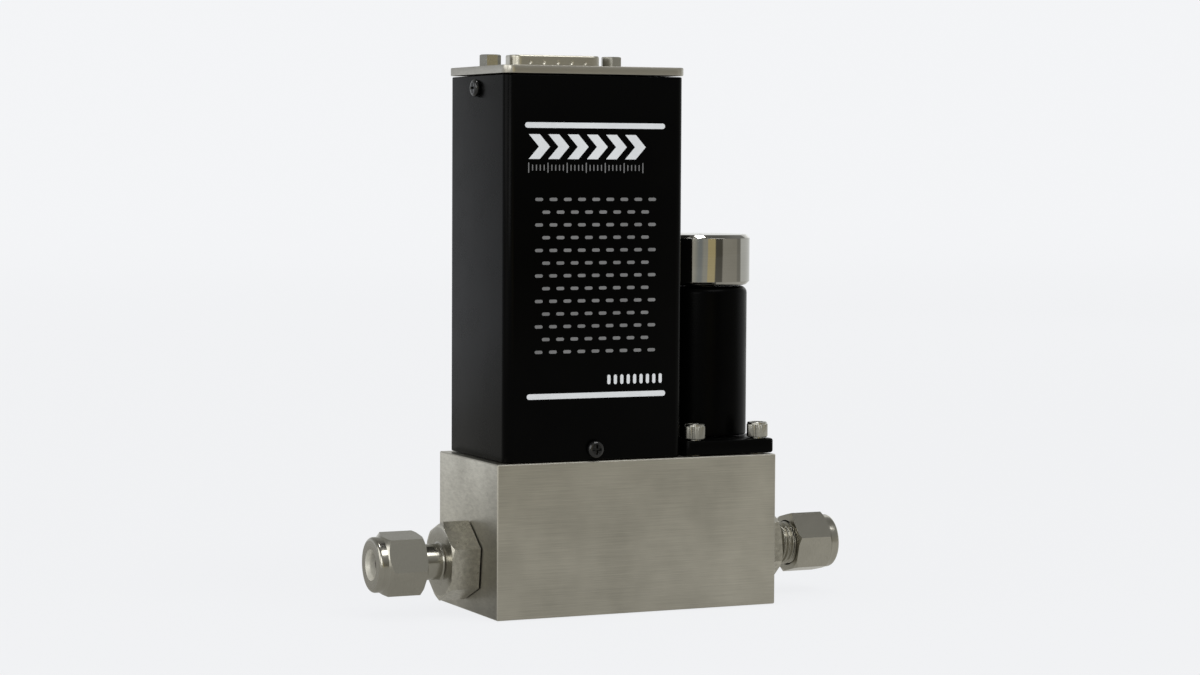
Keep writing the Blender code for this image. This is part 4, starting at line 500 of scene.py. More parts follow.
def insert_finish():
    """Black moulding whose contacts, above its face and below its foot, are gold plated."""
    made, tree, shader = started("insert_moulding")
    vector = placed_vector(tree)
    effect = use_group(tree, GRAIN, vector, Scale=2600.0)
    height = split(tree, vector)["Z"]
    above = calc(tree, "GREATER_THAN", height, INSERT_FACE * MM)
    below = calc(tree, "LESS_THAN", height, INSERT_FOOT * MM)
    contact = calc(tree, "MAXIMUM", above, below)
    moulding = tint(tree, effect.outputs["Shade"], (0.010, 0.010, 0.011), (0.022, 0.022, 0.024))
    gold = tint(tree, effect.outputs["Shade"], (0.62, 0.40, 0.12), (0.80, 0.56, 0.22))
    tree.links.new(tint(tree, contact, moulding, gold), shader.inputs["Base Color"])
    tree.links.new(contact, shader.inputs["Metallic"])
    tree.links.new(spread(tree, contact, 0.5, 0.22), shader.inputs["Roughness"])
    raised(tree, shader, effect, 0.008 * MM)
    return made


UPRIGHT = (0.0, pi / 2.0, 0.0)
PORT_AXIS = (0.0, 0.0, PORT_HEIGHT * MM)
VALVE_AXIS = (VALVE_X * MM, 0.0, 0.0)

# The block's ends carry painted shade at the low front corner and painted light at the high back
BLOCK_STEEL = brushed_steel("ground_stainless", (0.37, 0.357, 0.312), (0.69, 0.665, 0.585), 0.28, 0.44,
                            shaded_low_corner=0.44, lit_high_corner=1.2)
PLATE_STEEL = brushed_steel("ground_end_plate", (0.36, 0.345, 0.305), (0.54, 0.52, 0.46), 0.28, 0.40)
FITTING_STEEL = fitting_steel("turned_fitting", (0.36, 0.345, 0.30), (0.46, 0.445, 0.39), PORT_AXIS)
# Pale cream colour of the tube hole: partly the duller reamed finish, partly painted light on the hole's wall
PALE_LIT_BORE = grained("reamed_bore_painted_light", (0.60, 0.58, 0.50), (0.78, 0.76, 0.68), 0.42, 0.55, 2200.0, 0.000004,
                     metallic=0.35)
NUT_MIRROR = turned_metal("polished_round_nut", (0.34, 0.33, 0.30), (0.38, 0.37, 0.34), 0.03, 0.07,
                          UPRIGHT, VALVE_AXIS, 2600.0, 0.0000004)
SHELL_PLATING = grained("nickel_plated_shell", (0.42, 0.40, 0.34), (0.58, 0.56, 0.48), 0.28, 0.40, 900.0,
                        0.000005, metallic=1.0)
HEX_PLATING = grained("nickel_plated_hexagon", (0.29, 0.285, 0.26), (0.40, 0.395, 0.36), 0.20, 0.32, 1400.0,
                      0.000003, metallic=1.0)
CAP_STEEL = grained("cap_screw_steel", (0.30, 0.295, 0.265), (0.56, 0.55, 0.50), 0.16, 0.34, 1500.0,
                    0.000006, metallic=1.0)
COVER_PAINT = grained("black_satin_cover", (0.0004, 0.0004, 0.0004), (0.0009, 0.0009, 0.0008), 0.20, 0.30,
                      1500.0, 0.000005, specular=0.055)
COIL_PAINT = grained("black_coil_coating", (0.0004, 0.0004, 0.0004), (0.0010, 0.0010, 0.0009), 0.24, 0.34,
                     1900.0, 0.000006, specular=0.032)
FLANGE_PAINT = grained("black_flange_coating", (0.0005, 0.0005, 0.0005), (0.0012, 0.0012, 0.0011), 0.26, 0.36,
                       2100.0, 0.000005, specular=0.045)
OXIDE = grained("black_oxide_screw", (0.002, 0.002, 0.002), (0.008, 0.008, 0.008), 0.08, 0.18, 2400.0,
                0.000003, specular=0.6)
WHITE_INK = grained("white_print", (0.74, 0.76, 0.77), (0.84, 0.86, 0.87), 0.40, 0.55, 3000.0, 0.000004)
GREY_INK = grained("grey_print", (0.15, 0.15, 0.15), (0.22, 0.22, 0.22), 0.40, 0.55, 3000.0, 0.000004)
RUBBER = grained("seal_and_lead_rubber", (0.012, 0.012, 0.013), (0.030, 0.030, 0.031), 0.50, 0.70, 1800.0,
                 0.000010)
BOARD = grained("green_board_lacquer", (0.010, 0.090, 0.035), (0.020, 0.150, 0.060), 0.25, 0.40, 1200.0,
                0.000006)
CHIP = grained("chip_moulding", (0.010, 0.010, 0.011), (0.022, 0.022, 0.023), 0.45, 0.60, 3200.0, 0.000006)
SOCKET = grained("white_socket_moulding", (0.58, 0.56, 0.50), (0.74, 0.72, 0.66), 0.35, 0.50, 1600.0, 0.000006)
COPPER = turned_metal("copper_turns", (0.42, 0.15, 0.06), (0.66, 0.30, 0.14), 0.25, 0.40, UPRIGHT, VALVE_AXIS,
                      3000.0, 0.00004)
AMBER = grained("varnished_winding", (0.22, 0.10, 0.02), (0.42, 0.22, 0.06), 0.25, 0.40, 3400.0, 0.000010)
SHEET = grained("satin_sheet", (0.36, 0.36, 0.34), (0.50, 0.50, 0.47), 0.28, 0.42, 1100.0, 0.000005,
                metallic=1.0)
INSERT = insert_finish()


# Fittings

# Rise of a hexagon's chamfer along its axis, per millimetre outward
HEX_RISE = tan(radians(30.0))
OUTER_RISE = tan(radians(37.0))


def fitting_body(name, side, corner, thread_start, replaced, recess=()):
    """Fitting body as a closed section swept round the port's axis; a recess may widen its inner end.

    On the hexagon the radius is the flat's distance, and the chamfer's edge lies where that meets a 30 degree
    cone. The hexagon's end falls a little from its round face to the flats. On the thread the radius falls from
    the crest to the root by a cosine of the place along the helix, and both fade into the neck over one pitch.
    """
    theta = turns(192, corner)
    flat = hexagon_radius(theta, ADAPTER_FLATS, corner)
    end, rim, face, fall, neck = 7.8, 9.15, 7.1, 0.18, 4.45
    edge = end - fall
    rise = np.clip(flat - rim, 0.0, None) * HEX_RISE
    crest, root, pitch, thread_end = 5.55, 4.9, 1.27, 19.7
    tip, socket, socket_foot, bore = 20.0, 3.3, 15.0, 2.4
    stub, stub_end, stub_head, relief = 6.8, -9.6, -2.4, 5.9
    along = np.arange(thread_start, thread_end, pitch / 24.0)
    fade = np.clip((along - thread_start) / pitch, 0.0, 1.0) * np.clip((thread_end - along) / pitch, 0.0, 1.0)
    wave = 0.5 - 0.5 * np.cos(2.0 * pi * (along[:, None] / pitch) - theta)
    thread = [(u, neck + f * (crest - neck - (crest - root) * w)) for u, f, w in zip(along, fade, wave)]
    pairs = [
        (0.3, relief), (0.3, flat), (edge - rise, flat), (edge, np.minimum(flat, rim)), (end, face),
        (end, neck + 0.5), (end + 0.15, neck + 0.15), (end + 0.5, neck), (thread_start - 0.1, neck), *thread,
        (tip - 0.25, root), (tip, root - 0.15), (tip, root - 0.3), (17.6, socket), (socket_foot, socket),
        (socket_foot, bore), *(recess or [(stub_end, bore)]), (stub_end, stub - 0.3), (stub_end + 0.3, stub),
        (stub_head, stub), (stub_head, relief),
    ]
    grid = about_port(side, theta, pairs)
    surface(name, grid, FITTING_STEEL, replaced, soften=0.08)


def union_nut(name, side, corner, replaced):
    """Union nut: hexagon with chamfered ends, plain rounded collar, tube hole, ferrule pocket and bore."""
    theta = turns(192, corner)
    flat = hexagon_radius(theta, NUT_FLATS, corner)
    start, bore_end, pocket_end, shoulder, end = 13.3, 20.3, 22.1, 23.2, 25.65
    inner, outer, collar, curve = 7.395, 6.945, 6.85, 0.9
    bore, pocket, hole = 5.85, 4.85, 3.25
    inner_rise = np.clip(flat - inner, 0.0, None) * HEX_RISE
    outer_rise = (flat - outer) * OUTER_RISE
    quarter = np.linspace(0.0, pi / 2.0, 9)
    lip = [(end - curve + curve * sin(a), collar - curve + curve * cos(a)) for a in quarter]
    pairs = [
        (start, bore), (start, np.minimum(flat, inner)), (start + inner_rise, flat),
        (shoulder - outer_rise, flat), (shoulder, outer), (shoulder + 0.1, collar), *lip,
        (end, hole + 0.6), (end - 0.08, hole + 0.54), (end - 0.98, hole + 0.03), (end - 1.1, hole),
        (shoulder, hole), (pocket_end, pocket), (bore_end, pocket), (bore_end, bore),
    ]
    grid = about_port(side, theta, pairs)
    nut = surface(name, grid, FITTING_STEEL, replaced, soften=0.07)
    centres = np.empty(3 * len(nut.data.polygons))
    nut.data.polygons.foreach_get("center", centres)
    along, across, height = centres.reshape(-1, 3).T / MM
    outside_pocket = side * along > BLOCK_END + pocket_end + 0.4
    in_hole = (np.hypot(across, height - PORT_HEIGHT) < hole + 0.58) & outside_pocket
    # The tube hole and its mouth take the pale bore finish, which carries painted light on the hole's wall
    nut.data.materials.append(PALE_LIT_BORE)
    nut.data.polygons.foreach_set("material_index", in_hole.astype(np.int32))


def tube_ferrules(side_name, side):
    """Both ferrules as smooth rings inside the nut."""
    theta = turns(96)
    front = [(18.9, 3.25), (18.9, 3.65), (20.0, 4.25), (20.3, 4.4), (21.2, 4.4), (21.2, 3.9), (20.7, 3.25)]
    back = [(21.1, 3.25), (21.6, 3.9), (21.6, 4.4), (22.0, 4.4), (22.8, 3.25)]
    for label, section in (("front_ferrule", front), ("back_ferrule", back)):
        node = f"{side_name}_{label}"
        surface(f"{node}_ring", about_port(side, theta, section), FITTING_STEEL, (node,))


def fittings():
    """Both gas fittings; the outlet's thread starts nearer its hexagon, so that it shows before the nut."""
    screen_seat = [(-8.0, 2.4), (-8.0, 4.5), (-9.6, 4.5)]
    fitting_body("inlet_fitting", -1.0, radians(22.5), 12.4, ("inlet_adapter",), screen_seat)
    fitting_body("outlet_fitting", 1.0, radians(40.0), 8.8, ("outlet_adapter",))
    union_nut("inlet_union_nut", -1.0, radians(52.0), ("inlet_tube_nut",))
    union_nut("outlet_union_nut", 1.0, radians(14.0), ("outlet_tube_nut",))
    tube_ferrules("inlet", -1.0)
    tube_ferrules("outlet", 1.0)


# Cover, end plate and their screws

def cover_box():
    """Drawn box: the outer outline goes up, turns in over a small rounding and comes down inside."""
    def ring(inset):
        return rectangle(COVER_WIDTH - 2.0 * inset, COVER_DEPTH - 2.0 * inset, COVER_CORNER - inset, 10)

    wall, near, far = 1.1, 0.08, 0.25
    outer = [far, near, 0.0, 0.0, near, far]
    insets = outer + [wall - inset for inset in outer]
    rising = [COVER_FOOT, COVER_FOOT + near, COVER_FOOT + far, COVER_TOP - far, COVER_TOP - near, COVER_TOP]
    grid = lofted([ring(inset) for inset in insets], rising + rising[::-1], COVER_X)
    surface("cover_box", grid, COVER_PAINT, ("electronics_cover",))


def shell_outline(grow, count):
    """The connector's D outline grown by an amount, resampled to evenly spaced points along its length."""
    slant = radians(10.0)
    half = SHELL_DEPTH / 2.0 + grow
    wide = SHELL_WIDTH / 2.0 + grow / cos(slant) + grow * tan(slant)
    narrow = wide - 2.0 * half * tan(slant)
    corner = 2.4 + grow
    outline = rounded([(-wide, -half, corner), (wide, -half, corner), (narrow, half, corner),
                       (-narrow, half, corner)], 16)
    return evenly(outline, count)


def evenly(outline, count):
    """Points at an even spacing along a closed outline, starting at its first point."""
    closed = np.vstack([outline, outline[:1]])
    length = np.concatenate([[0.0], np.cumsum(np.linalg.norm(np.diff(closed, axis=0), axis=1))])
    at = np.linspace(0.0, length[-1], count, endpoint=False)
    return np.column_stack([np.interp(at, length, closed[:, k]) for k in (0, 1)])


def end_plate():
    """Ground plate: its outline, rounded at both rims, carried in to the connector's opening and back.

    Each point of the opening lies on the line from the connector's middle to its point of the outline.
    """
    place = np.array([COVER_X, 0.0])
    middle = np.array([COVER_X, CONNECTOR_Y])
    clearance, near, far = 0.6, 0.06, 0.22

    def ring(inset):
        outline = rectangle(PLATE_WIDTH - 2.0 * inset, PLATE_DEPTH - 2.0 * inset, PLATE_CORNER - inset, 24)
        return evenly(outline, 480) + place

    away = ring(0.0) - middle
    angle = np.arctan2(away[:, 1], away[:, 0])
    fine = shell_outline(clearance, 4000)
    bearing = np.arctan2(fine[:, 1], fine[:, 0])
    hole = middle + np.column_stack([np.interp(angle, bearing, fine[:, k], period=2.0 * pi) for k in (0, 1)])
    foot, top = PLATE_FOOT, PLATE_TOP
    outlines = [hole, *(ring(inset) for inset in (far, near, 0.0, 0.0, near, far)), hole]
    heights = [foot, foot, foot + near, foot + far, top - far, top - near, top, top]
    surface("end_plate", lofted(outlines, heights), PLATE_STEEL, ("top_plate",))


def pan_head(name, centre, outward, replaced):
    """Screw head as a height over its disc: a flat dome less a plus-shaped recess with sloping walls.

    The point at (radius, angle) rises to the dome's height, from which the recess's depth is taken where
    either arm of the plus covers it.
    """
    theta = turns(96)
    reach, height, side_height, level_share = 2.15, 1.1, 0.25, 0.55
    arm_half, arm_reach, wall, depth = 0.24, 1.15, 0.12, 0.7
    share = np.concatenate([np.linspace(0.04, 0.72, 26), np.linspace(0.76, 1.0, 7)])
    radii = np.outer(share * reach, np.ones_like(theta))
    a, b = radii * np.cos(theta), radii * np.sin(theta)
    bend = np.clip(radii / reach - level_share, 0.0, None) / (1.0 - level_share)
    dome = side_height + 0.75 * height * np.sqrt(np.clip(1.0 - bend ** 2.4, 0.0, 1.0))
    arm = np.minimum(np.maximum(np.abs(a) - arm_half, np.abs(b) - arm_reach),
                     np.maximum(np.abs(b) - arm_half, np.abs(a) - arm_reach))
    top = np.stack([a, b, dome - depth * np.clip(-arm / wall + 0.5, 0.0, 1.0)], axis=-1)
    shank = about_upright(0.0, 0.0, theta, [(0.0, reach), (0.0, 1.3), (-1.4, 1.2)])
    turn = np.array(Vector(outward).to_track_quat("Z", "Y").to_matrix())
    grid = np.concatenate([top, shank]) @ turn.T + np.array(centre)
    surface(name, grid, OXIDE, replaced, ends="poles")


def cover_screws():
    """The four black pan-head screws that hold the cover."""
    gap, side_z, foot_z = 0.3, 129.6, 41.0
    across, along = COVER_WIDTH / 2.0 + gap, COVER_DEPTH / 2.0 + gap
    places = {
        "left": ((COVER_X - across, 0.0, side_z), (-1.0, 0.0, 0.0)),
        "right": ((COVER_X + across, 0.0, side_z), (1.0, 0.0, 0.0)),
        "front": ((COVER_X, -along, foot_z), (0.0, -1.0, 0.0)),
        "rear": ((COVER_X, along, foot_z), (0.0, 1.0, 0.0)),
    }
    for side, (centre, outward) in places.items():
        pan_head(f"{side}_pan_head", centre, outward, (f"cover_screw_{side}",))


# Connector

def connector_wall():
    """Drawn D-shaped wall with a rolled rim and a row of pressed dimples along both long sides.

    Each dimple is a round bump, the square of a cosine of its distance, taken from the wall's two faces.
    """
    foot, plain, bend, wall = 132.2, 134.6, 137.8, 0.5
    pitch, dimple_height, reach, depth, row_half = 3.78, 136.4, 0.62, 0.22, 10.4
    rising = np.linspace(plain, bend, 26)
    levels = [(foot, 0.0)] + [(z, 0.0) for z in rising]
    levels += [(138.05, -0.06), (CONNECTOR_TOP, -0.2), (CONNECTOR_TOP, -0.34), (138.05, -0.46)]
    levels += [(z, -wall) for z in rising[::-1]] + [(foot, -wall)]
    outlines = []
    for height, grow in levels:
        ring = shell_outline(grow, 720)
        normal = unit(np.roll(ring, -1, axis=0) - np.roll(ring, 1, axis=0))[:, ::-1] * np.array([1.0, -1.0])
        on_row = (np.abs(ring[:, 1]) > SHELL_DEPTH / 2.0 - 0.75) & (np.abs(ring[:, 0]) < row_half)
        beside = (ring[:, 0] + pitch / 2.0) % pitch - pitch / 2.0
        away = np.minimum(np.hypot(beside, height - dimple_height) / reach, 1.0)
        dent = depth * np.where(on_row & (away < 1.0), np.cos(away * pi / 2.0) ** 2, 0.0)
        outlines.append(ring - normal * dent[:, None])
    grid = lofted(outlines, [height for height, _ in levels], COVER_X, CONNECTOR_Y)
    surface("connector_wall", grid, SHELL_PLATING, ("connector_shell",))


def jack_hexagon(name, x, corner, replaced):
    """Hexagonal jackscrew with a chamfered top and a threaded hole, standing on the end plate."""
    flats, rim, crest, groove, half_pitch = 4.75, 2.36, 1.25, 0.11, 0.35
    theta = turns(96, corner)
    flat = hexagon_radius(theta, flats, corner)
    rise = (flat - rim) * HEX_RISE
    foot, top = 135.0, CONNECTOR_TOP
    hole = [(top - half_pitch - half_pitch * k, crest + groove * (k % 2)) for k in range(7)]
    pairs = [(foot, 1.3), (foot, flat), (top - rise, flat), (top, rim), (top, 1.5), (top - 0.2, 1.3), *hole,
             (top - 2.9, crest)]
    grid = about_upright(x, CONNECTOR_Y, theta, pairs)
    surface(name, grid, HEX_PLATING, replaced, ends="poles", soften=0.06)


# Valve

def sides_divided(outline, parts):
    """A closed outline whose sides over 2 mm are cut into equal parts, and its other points as they were."""
    run = np.roll(outline, -1, axis=0) - outline
    counts = np.where(np.linalg.norm(run, axis=1) > 2.0, parts, 1)
    start = np.repeat(np.arange(len(outline)), counts)
    step = np.arange(counts.sum()) - np.repeat(np.cumsum(counts) - counts, counts)
    return outline[start] + (step / counts[start])[:, None] * run[start]


def flange_plate():
    """Clamping plate with rounded corners, softened rims and a round bore for the valve's stem.

    The bore's points lie at the outline's own angles round the valve's axis.
    """
    corner, near, far = 1.2, 0.15, 0.5
    foot, top = FLANGE_FOOT, FLANGE_TOP
    outlines = [sides_divided(rectangle(FLANGE_WIDTH - 2.0 * i, FLANGE_DEPTH - 2.0 * i, corner - i, 10), 12)
                for i in (far, near, 0.0, 0.0, near, far)]
    angle = np.arctan2(outlines[0][:, 1], outlines[0][:, 0])
    bore = STEM_HOLE * np.column_stack([np.cos(angle), np.sin(angle)])
    heights = [foot, foot + near, foot + far, top - far, top - near, top, top, foot]
    grid = lofted([*outlines, bore, bore], heights, VALVE_X)
    surface("flange_plate", grid, FLANGE_PAINT, ("valve_flange",))


def cap_head(name, x, y, replaced):
    """Socket head: a straight knurl on the side, a chamfered crown and a hexagonal socket.

    The knurl takes a cosine of forty times the angle from the radius, and the socket's rows follow the
    hexagon's own distance.
    """
    theta = turns(240)
    radius, shank, knurl = 2.65, 1.7, 0.07
    foot, top = FLANGE_TOP + 0.3, FLANGE_TOP + 4.1
    knurled = radius - knurl + knurl * np.cos(40.0 * theta)
    socket = hexagon_radius(theta, 2.8, 0.4)
    pairs = [
        (foot - 4.0, shank), (foot, shank), (foot, radius - 0.25), (foot + 0.1, radius - 0.15),
        (foot + 0.25, knurled), (top - 0.6, knurled), (top - 0.5, radius - 0.14), (top - 0.14, radius - 0.16),
        (top, radius - 0.30), (top, socket * 1.06), (top - 0.12, socket), (top - 2.0, socket),
    ]
    surface(name, about_upright(x, y, theta, pairs), CAP_STEEL, replaced, ends="poles")


def coil_can():
    """Drawn can with a wide rounded shoulder, turned about the valve's axis."""
    inner, outer, ceiling = 10.75, 12.05, COIL_TOP - 2.0
    section = [(inner, COIL_FOOT, 0.0), (outer, COIL_FOOT, 0.3), (outer, COIL_TOP, 1.8),
               (STEM_HOLE, COIL_TOP, 0.3), (STEM_HOLE, ceiling, 0.0), (inner, ceiling, 0.6)]
    grid = about_upright(VALVE_X, 0.0, turns(192), profile_pairs(section, 10))
    surface("coil_can", grid, COIL_PAINT, ("coil_housing",))


def round_nut():
    """Polished round nut, chamfered on both rims, with a bore from below and a small hole through its top."""
    foot, top, radius, chamfer = 80.5, 93.3, 12.7, 0.9
    bore, bore_top, vent = 4.1, 91.7, 0.6
    section = [(bore, foot, 0.0), (radius - chamfer, foot, 0.5), (radius, foot + chamfer, 0.12),
               (radius, top - chamfer, 0.12), (radius - chamfer, top, 0.5), (vent, top, 0.0),
               (vent, bore_top, 0.0), (bore, bore_top, 0.0)]
    grid = about_upright(VALVE_X, 0.0, turns(256), profile_pairs(section, 5))
    surface("round_nut", grid, NUT_MIRROR, ("coil_nut",))


def return_spring():
    """Compression spring below the pole, made at one fixed length.

    A round wire follows a helix, whose height stays level over its first and last half turn. Each ring of the
    wire is the path's point plus a cosine times the outward direction and a sine times the one across it.
    """
    coils, radius, wire, low, high, lift = 6.0, 2.4, 0.3, 47.9, 55.4, 0.4
    share = np.linspace(0.0, 1.0, 289)
    angle = 2.0 * pi * coils * share
    level = np.clip((share * coils - 0.5) / (coils - 1.0), 0.0, 1.0)
    climb = low + (high - low) * level
    path = np.column_stack([VALVE_X + radius * np.cos(angle), radius * np.sin(angle), climb])
    along = np.gradient(path, axis=0)
    across = unit(np.cross(along, np.column_stack([np.cos(angle), np.sin(angle), np.zeros_like(angle)])))
    outward = unit(np.cross(across, along))
    ring = turns(16)[None, :, None]
    grid = path[:, None] + wire * (np.cos(ring) * outward[:, None] + np.sin(ring) * across[:, None])
    spring = surface("return_spring", grid, CAP_STEEL, ("plunger_spring",), ends="poles")
    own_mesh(spring)


def valve():
    """The valve's visible pieces, and the spring inside it."""
    flange_plate()
    across, along = 8.85, 15.4
    places = [(sx * across, sy * along) for sy in (-1, 1) for sx in (-1, 1)]
    for k, (x, y) in enumerate(places):
        cap_head(f"cap_head_{k + 1}", VALVE_X + x, y, (f"flange_screw_{k + 1}",))
    coil_can()
    round_nut()
    return_spring()


# Print on the cover's front

def printed(name, outlines, finish):
    """Thin raised ink: each outline of (x, z) points stands from 0.005 to 0.035 mm before the cover's front."""
    outlines = np.asarray(outlines)
    shapes, count = outlines.shape[:2]
    depths = np.array([COVER_FRONT - 0.005, COVER_FRONT - 0.035])
    points = np.zeros((shapes, 2, count, 3))
    points[..., 0] = outlines[:, None, :, 0]
    points[..., 1] = depths[None, :, None]
    points[..., 2] = outlines[:, None, :, 1]
    base = np.arange(shapes)[:, None] * 2 * count
    back = base + np.arange(count)
    front = back + count
    walls = np.stack([back, np.roll(back, -1, axis=1), np.roll(front, -1, axis=1), front], axis=-1)
    faces = [walls.reshape(-1, 4), back[:, ::-1], front]
    piece(name, points.reshape(-1, 3), faces, finish)


def capsule(x, z, length, thickness, turn=0.0, steps=10):
    """Outline of a bar with round ends, centred at (x, z) and turned in the cover's plane."""
    half, radius = length / 2.0 - thickness / 2.0, thickness / 2.0
    arc = np.linspace(-pi / 2.0, pi / 2.0, steps)
    right = np.column_stack([half + radius * np.cos(arc), radius * np.sin(arc)])
    outline = np.vstack([right, -right])
    spin = np.array([[cos(turn), sin(turn)], [-sin(turn), cos(turn)]])
    return outline @ spin + np.array([x, z])


def chevron(x, z, height, width, thickness):
    """Outline of one arrowhead stripe that points towards +X."""
    reach = width - thickness
    return np.array([
        (x, z + height / 2.0), (x + thickness, z + height / 2.0), (x + thickness + reach, z),
        (x + thickness, z - height / 2.0), (x, z - height / 2.0), (x + reach, z),
    ])


def front_print():
    """Two rules, a flow arrow of chevrons, a tick scale, a staggered field of dashes and a short bar row."""
    upright, left = pi / 2.0, -29.9
    arrow_pitch, tick_pitch, dash_pitch, row_pitch, bar_pitch = 5.15, 1.02, 3.8, 3.1, 1.75
    printed("print_rules", [capsule(-12.1, 120.4, 37.6, 1.35), capsule(-11.5, 54.35, 37.4, 1.35)], WHITE_INK)
    arrows = [chevron(left + arrow_pitch * k, 115.2, 6.0, 5.6, 2.9) for k in range(6)]
    printed("print_flow_arrows", arrows, WHITE_INK)
    ticks = [capsule(left + tick_pitch * k, 110.1, 2.5 if k % 5 == 0 else 1.5, 0.26, upright, 4)
             for k in range(31)]
    printed("print_tick_scale", ticks, GREY_INK)
    starts = [-27.1 + dash_pitch / 2.0 * (row % 2) for row in range(13)]
    dashes = [capsule(start + dash_pitch * column, 65.2 + row_pitch * row, 2.1, 0.8, 0.0, 6)
              for row, start in enumerate(starts) for column in range(9 - row % 2)]
    printed("print_dash_field", dashes, GREY_INK)
    bars = [capsule(-8.2 + bar_pitch * k, 58.1, 2.4, 0.85, upright, 6) for k in range(9)]
    printed("print_bar_row", bars, WHITE_INK)


# Finishes of the CAD nodes that stay in view or inside

NODE_FINISH = {
    "body_block": BLOCK_STEEL, "connector_insert": INSERT, "circuit_board": BOARD, "processor_chip": CHIP,
    "lead_socket": SOCKET, "cover_bracket": SHEET, "sensor_cover": SHEET, "inlet_filter_screen": SHEET,
    "coil_winding": COPPER, "coil_bobbin": CHIP, "valve_plunger": NUT_MIRROR, "plunger_spring": CAP_STEEL,
}
SLOT_FINISH = {
    "seal_rubber": RUBBER, "turned_stainless": CAP_STEEL, "amber_coating": AMBER, "blackened_steel": OXIDE,
    "plated_steel": HEX_PLATING, "polished_steel": NUT_MIRROR, "black_satin_paint": COVER_PAINT,
    "brushed_stainless": PLATE_STEEL, "satin_aluminium": SHEET, "black_plastic": CHIP,
}


def dress_nodes():
    """Give every CAD node its procedural finish, by its name or else by its material slot."""
    slots = {row["node"]: row["material_slot"] for row in frame["record"]["subparts"]}
    for name, item in frame["nodes"].items():
        finish = NODE_FINISH.get(name) or SLOT_FINISH[slots[name]]
        item.data.materials.clear()
        item.data.materials.append(finish)


# Stage, light and camera

BACKDROP = (0.888, 0.896, 0.913)
AMBIENT = (0.60, 0.605, 0.61)
OBJECT_MIDDLE = (0.0, 0.0, 0.07)

# What metal sees round the horizon: angle from the front towards the outlet's side, and colour
STUDIO_BANDS = [
    (-180.0, (0.76, 0.78, 0.81)), (-132.0, (0.72, 0.74, 0.77)), (-112.0, (0.52, 0.52, 0.50)),
    (-90.0, (0.55, 0.54, 0.51)), (-80.0, (1.00, 0.99, 0.94)), (-56.0, (1.00, 0.99, 0.94)),
    (-49.0, (0.46, 0.45, 0.41)), (-40.0, (0.58, 0.57, 0.51)),
    (-34.0, (0.45, 0.46, 0.43)), (-29.0, (0.35, 0.38, 0.39)), (-22.0, (0.35, 0.38, 0.39)),
    (-17.0, (0.53, 0.53, 0.48)), (-8.5, (0.53, 0.53, 0.48)), (-7.0, (0.75, 0.64, 0.36)),
    (9.5, (0.75, 0.64, 0.36)), (10.5, (0.130, 0.125, 0.105)), (27.0, (0.130, 0.125, 0.105)),
    (29.0, (0.49, 0.475, 0.425)), (68.0, (0.46, 0.445, 0.395)), (71.0, (0.32, 0.315, 0.285)),
    (81.0, (0.32, 0.315, 0.285)), (84.0, (0.86, 0.88, 0.87)), (160.0, (0.86, 0.87, 0.86)),
]
UPPER_ROOM = (0.33, 0.332, 0.32)
OVERHEAD = (0.215, 0.215, 0.205)
NEAR_FLOOR = (0.40, 0.395, 0.37)
RIGHT_FLOOR = (0.58, 0.57, 0.53)


def studio_group():
    """The room as metal sees it: upright bands by azimuth, a darker ceiling, a floor brighter on the right."""
    tree, given, result = new_group("studio_bands", {"Direction": "Vector"}, ["Color"], "Color")
    direction = split(tree, calc(tree, "NORMALIZE", given.outputs["Direction"], kind="ShaderNodeVectorMath"))
    azimuth = calc(tree, "ARCTAN2", direction["X"], calc(tree, "MULTIPLY", direction["Y"], -1.0))
    ramp = add(tree, "ShaderNodeValToRGB")
    tree.links.new(calc(tree, "MULTIPLY_ADD", azimuth, 0.5 / pi, 0.5), ramp.inputs["Fac"])
    elements = ramp.color_ramp.elements
    elements[1].color = (*STUDIO_BANDS[-1][1], 1.0)
    elements.remove(elements[0])
    for angle, colour in STUDIO_BANDS:
        elements.new(angle / 360.0 + 0.5).color = (*colour, 1.0)
    above = window(tree, direction["Z"], 0.04, 0.45)
    overhead = window(tree, direction["Z"], 0.72, 0.90)
    below = window(tree, direction["Z"], -0.10, -0.30)
    to_right = window(tree, direction["X"], 0.35, 0.75)
    walls = tint(tree, above, ramp.outputs["Color"], tint(tree, overhead, UPPER_ROOM, OVERHEAD))
    floor = tint(tree, to_right, NEAR_FLOOR, RIGHT_FLOOR)
    tree.links.new(tint(tree, below, walls, floor), result.inputs["Color"])
    return tree


STUDIO = studio_group()


def studio_colour(tree, direction):
    """The studio group's colour for a direction in a material or the world."""
    item = add(tree, "ShaderNodeGroup", node_tree=STUDIO)
    tree.links.new(direction, item.inputs["Direction"])
    return item.outputs["Color"]


def rays(tree):
    """The kinds of ray, and whether one comes from the camera, straight or let through."""
    path = add(tree, "ShaderNodeLightPath").outputs
    return path, calc(tree, "MAXIMUM", path["Is Camera Ray"], path["Is Transmission Ray"])


def stage_finish():
    """Pale floor: it glows for the camera, shows metal the room's bands, and keeps the shadow."""
    made = bpy.data.materials.new("pale_stage")
    made.use_nodes = True
    tree = made.node_tree
    shader = tree.nodes["Principled BSDF"]
    shader.inputs["Roughness"].default_value = 1.0
    shader.inputs["Specular IOR Level"].default_value = 0.0
    shader.inputs["Base Color"].default_value = (0.06, 0.06, 0.06, 1.0)
    path, seen = rays(tree)
    place = placed_vector(tree, centre=OBJECT_MIDDLE)
    plain = spread(tree, window(tree, split(tree, place)["Y"], 0.2, 2.6), 0.92, 0.975)
    colour = tint(tree, path["Is Glossy Ray"], BACKDROP, studio_colour(tree, place))
    tree.links.new(colour, shader.inputs["Emission Color"])
    to_metal = calc(tree, "MULTIPLY", path["Is Glossy Ray"], 0.95)
    shown = calc(tree, "MULTIPLY_ADD", seen, plain, to_metal)
    glow = calc(tree, "MULTIPLY_ADD", path["Is Diffuse Ray"], 0.45, shown)
    tree.links.new(glow, shader.inputs["Emission Strength"])
    return made


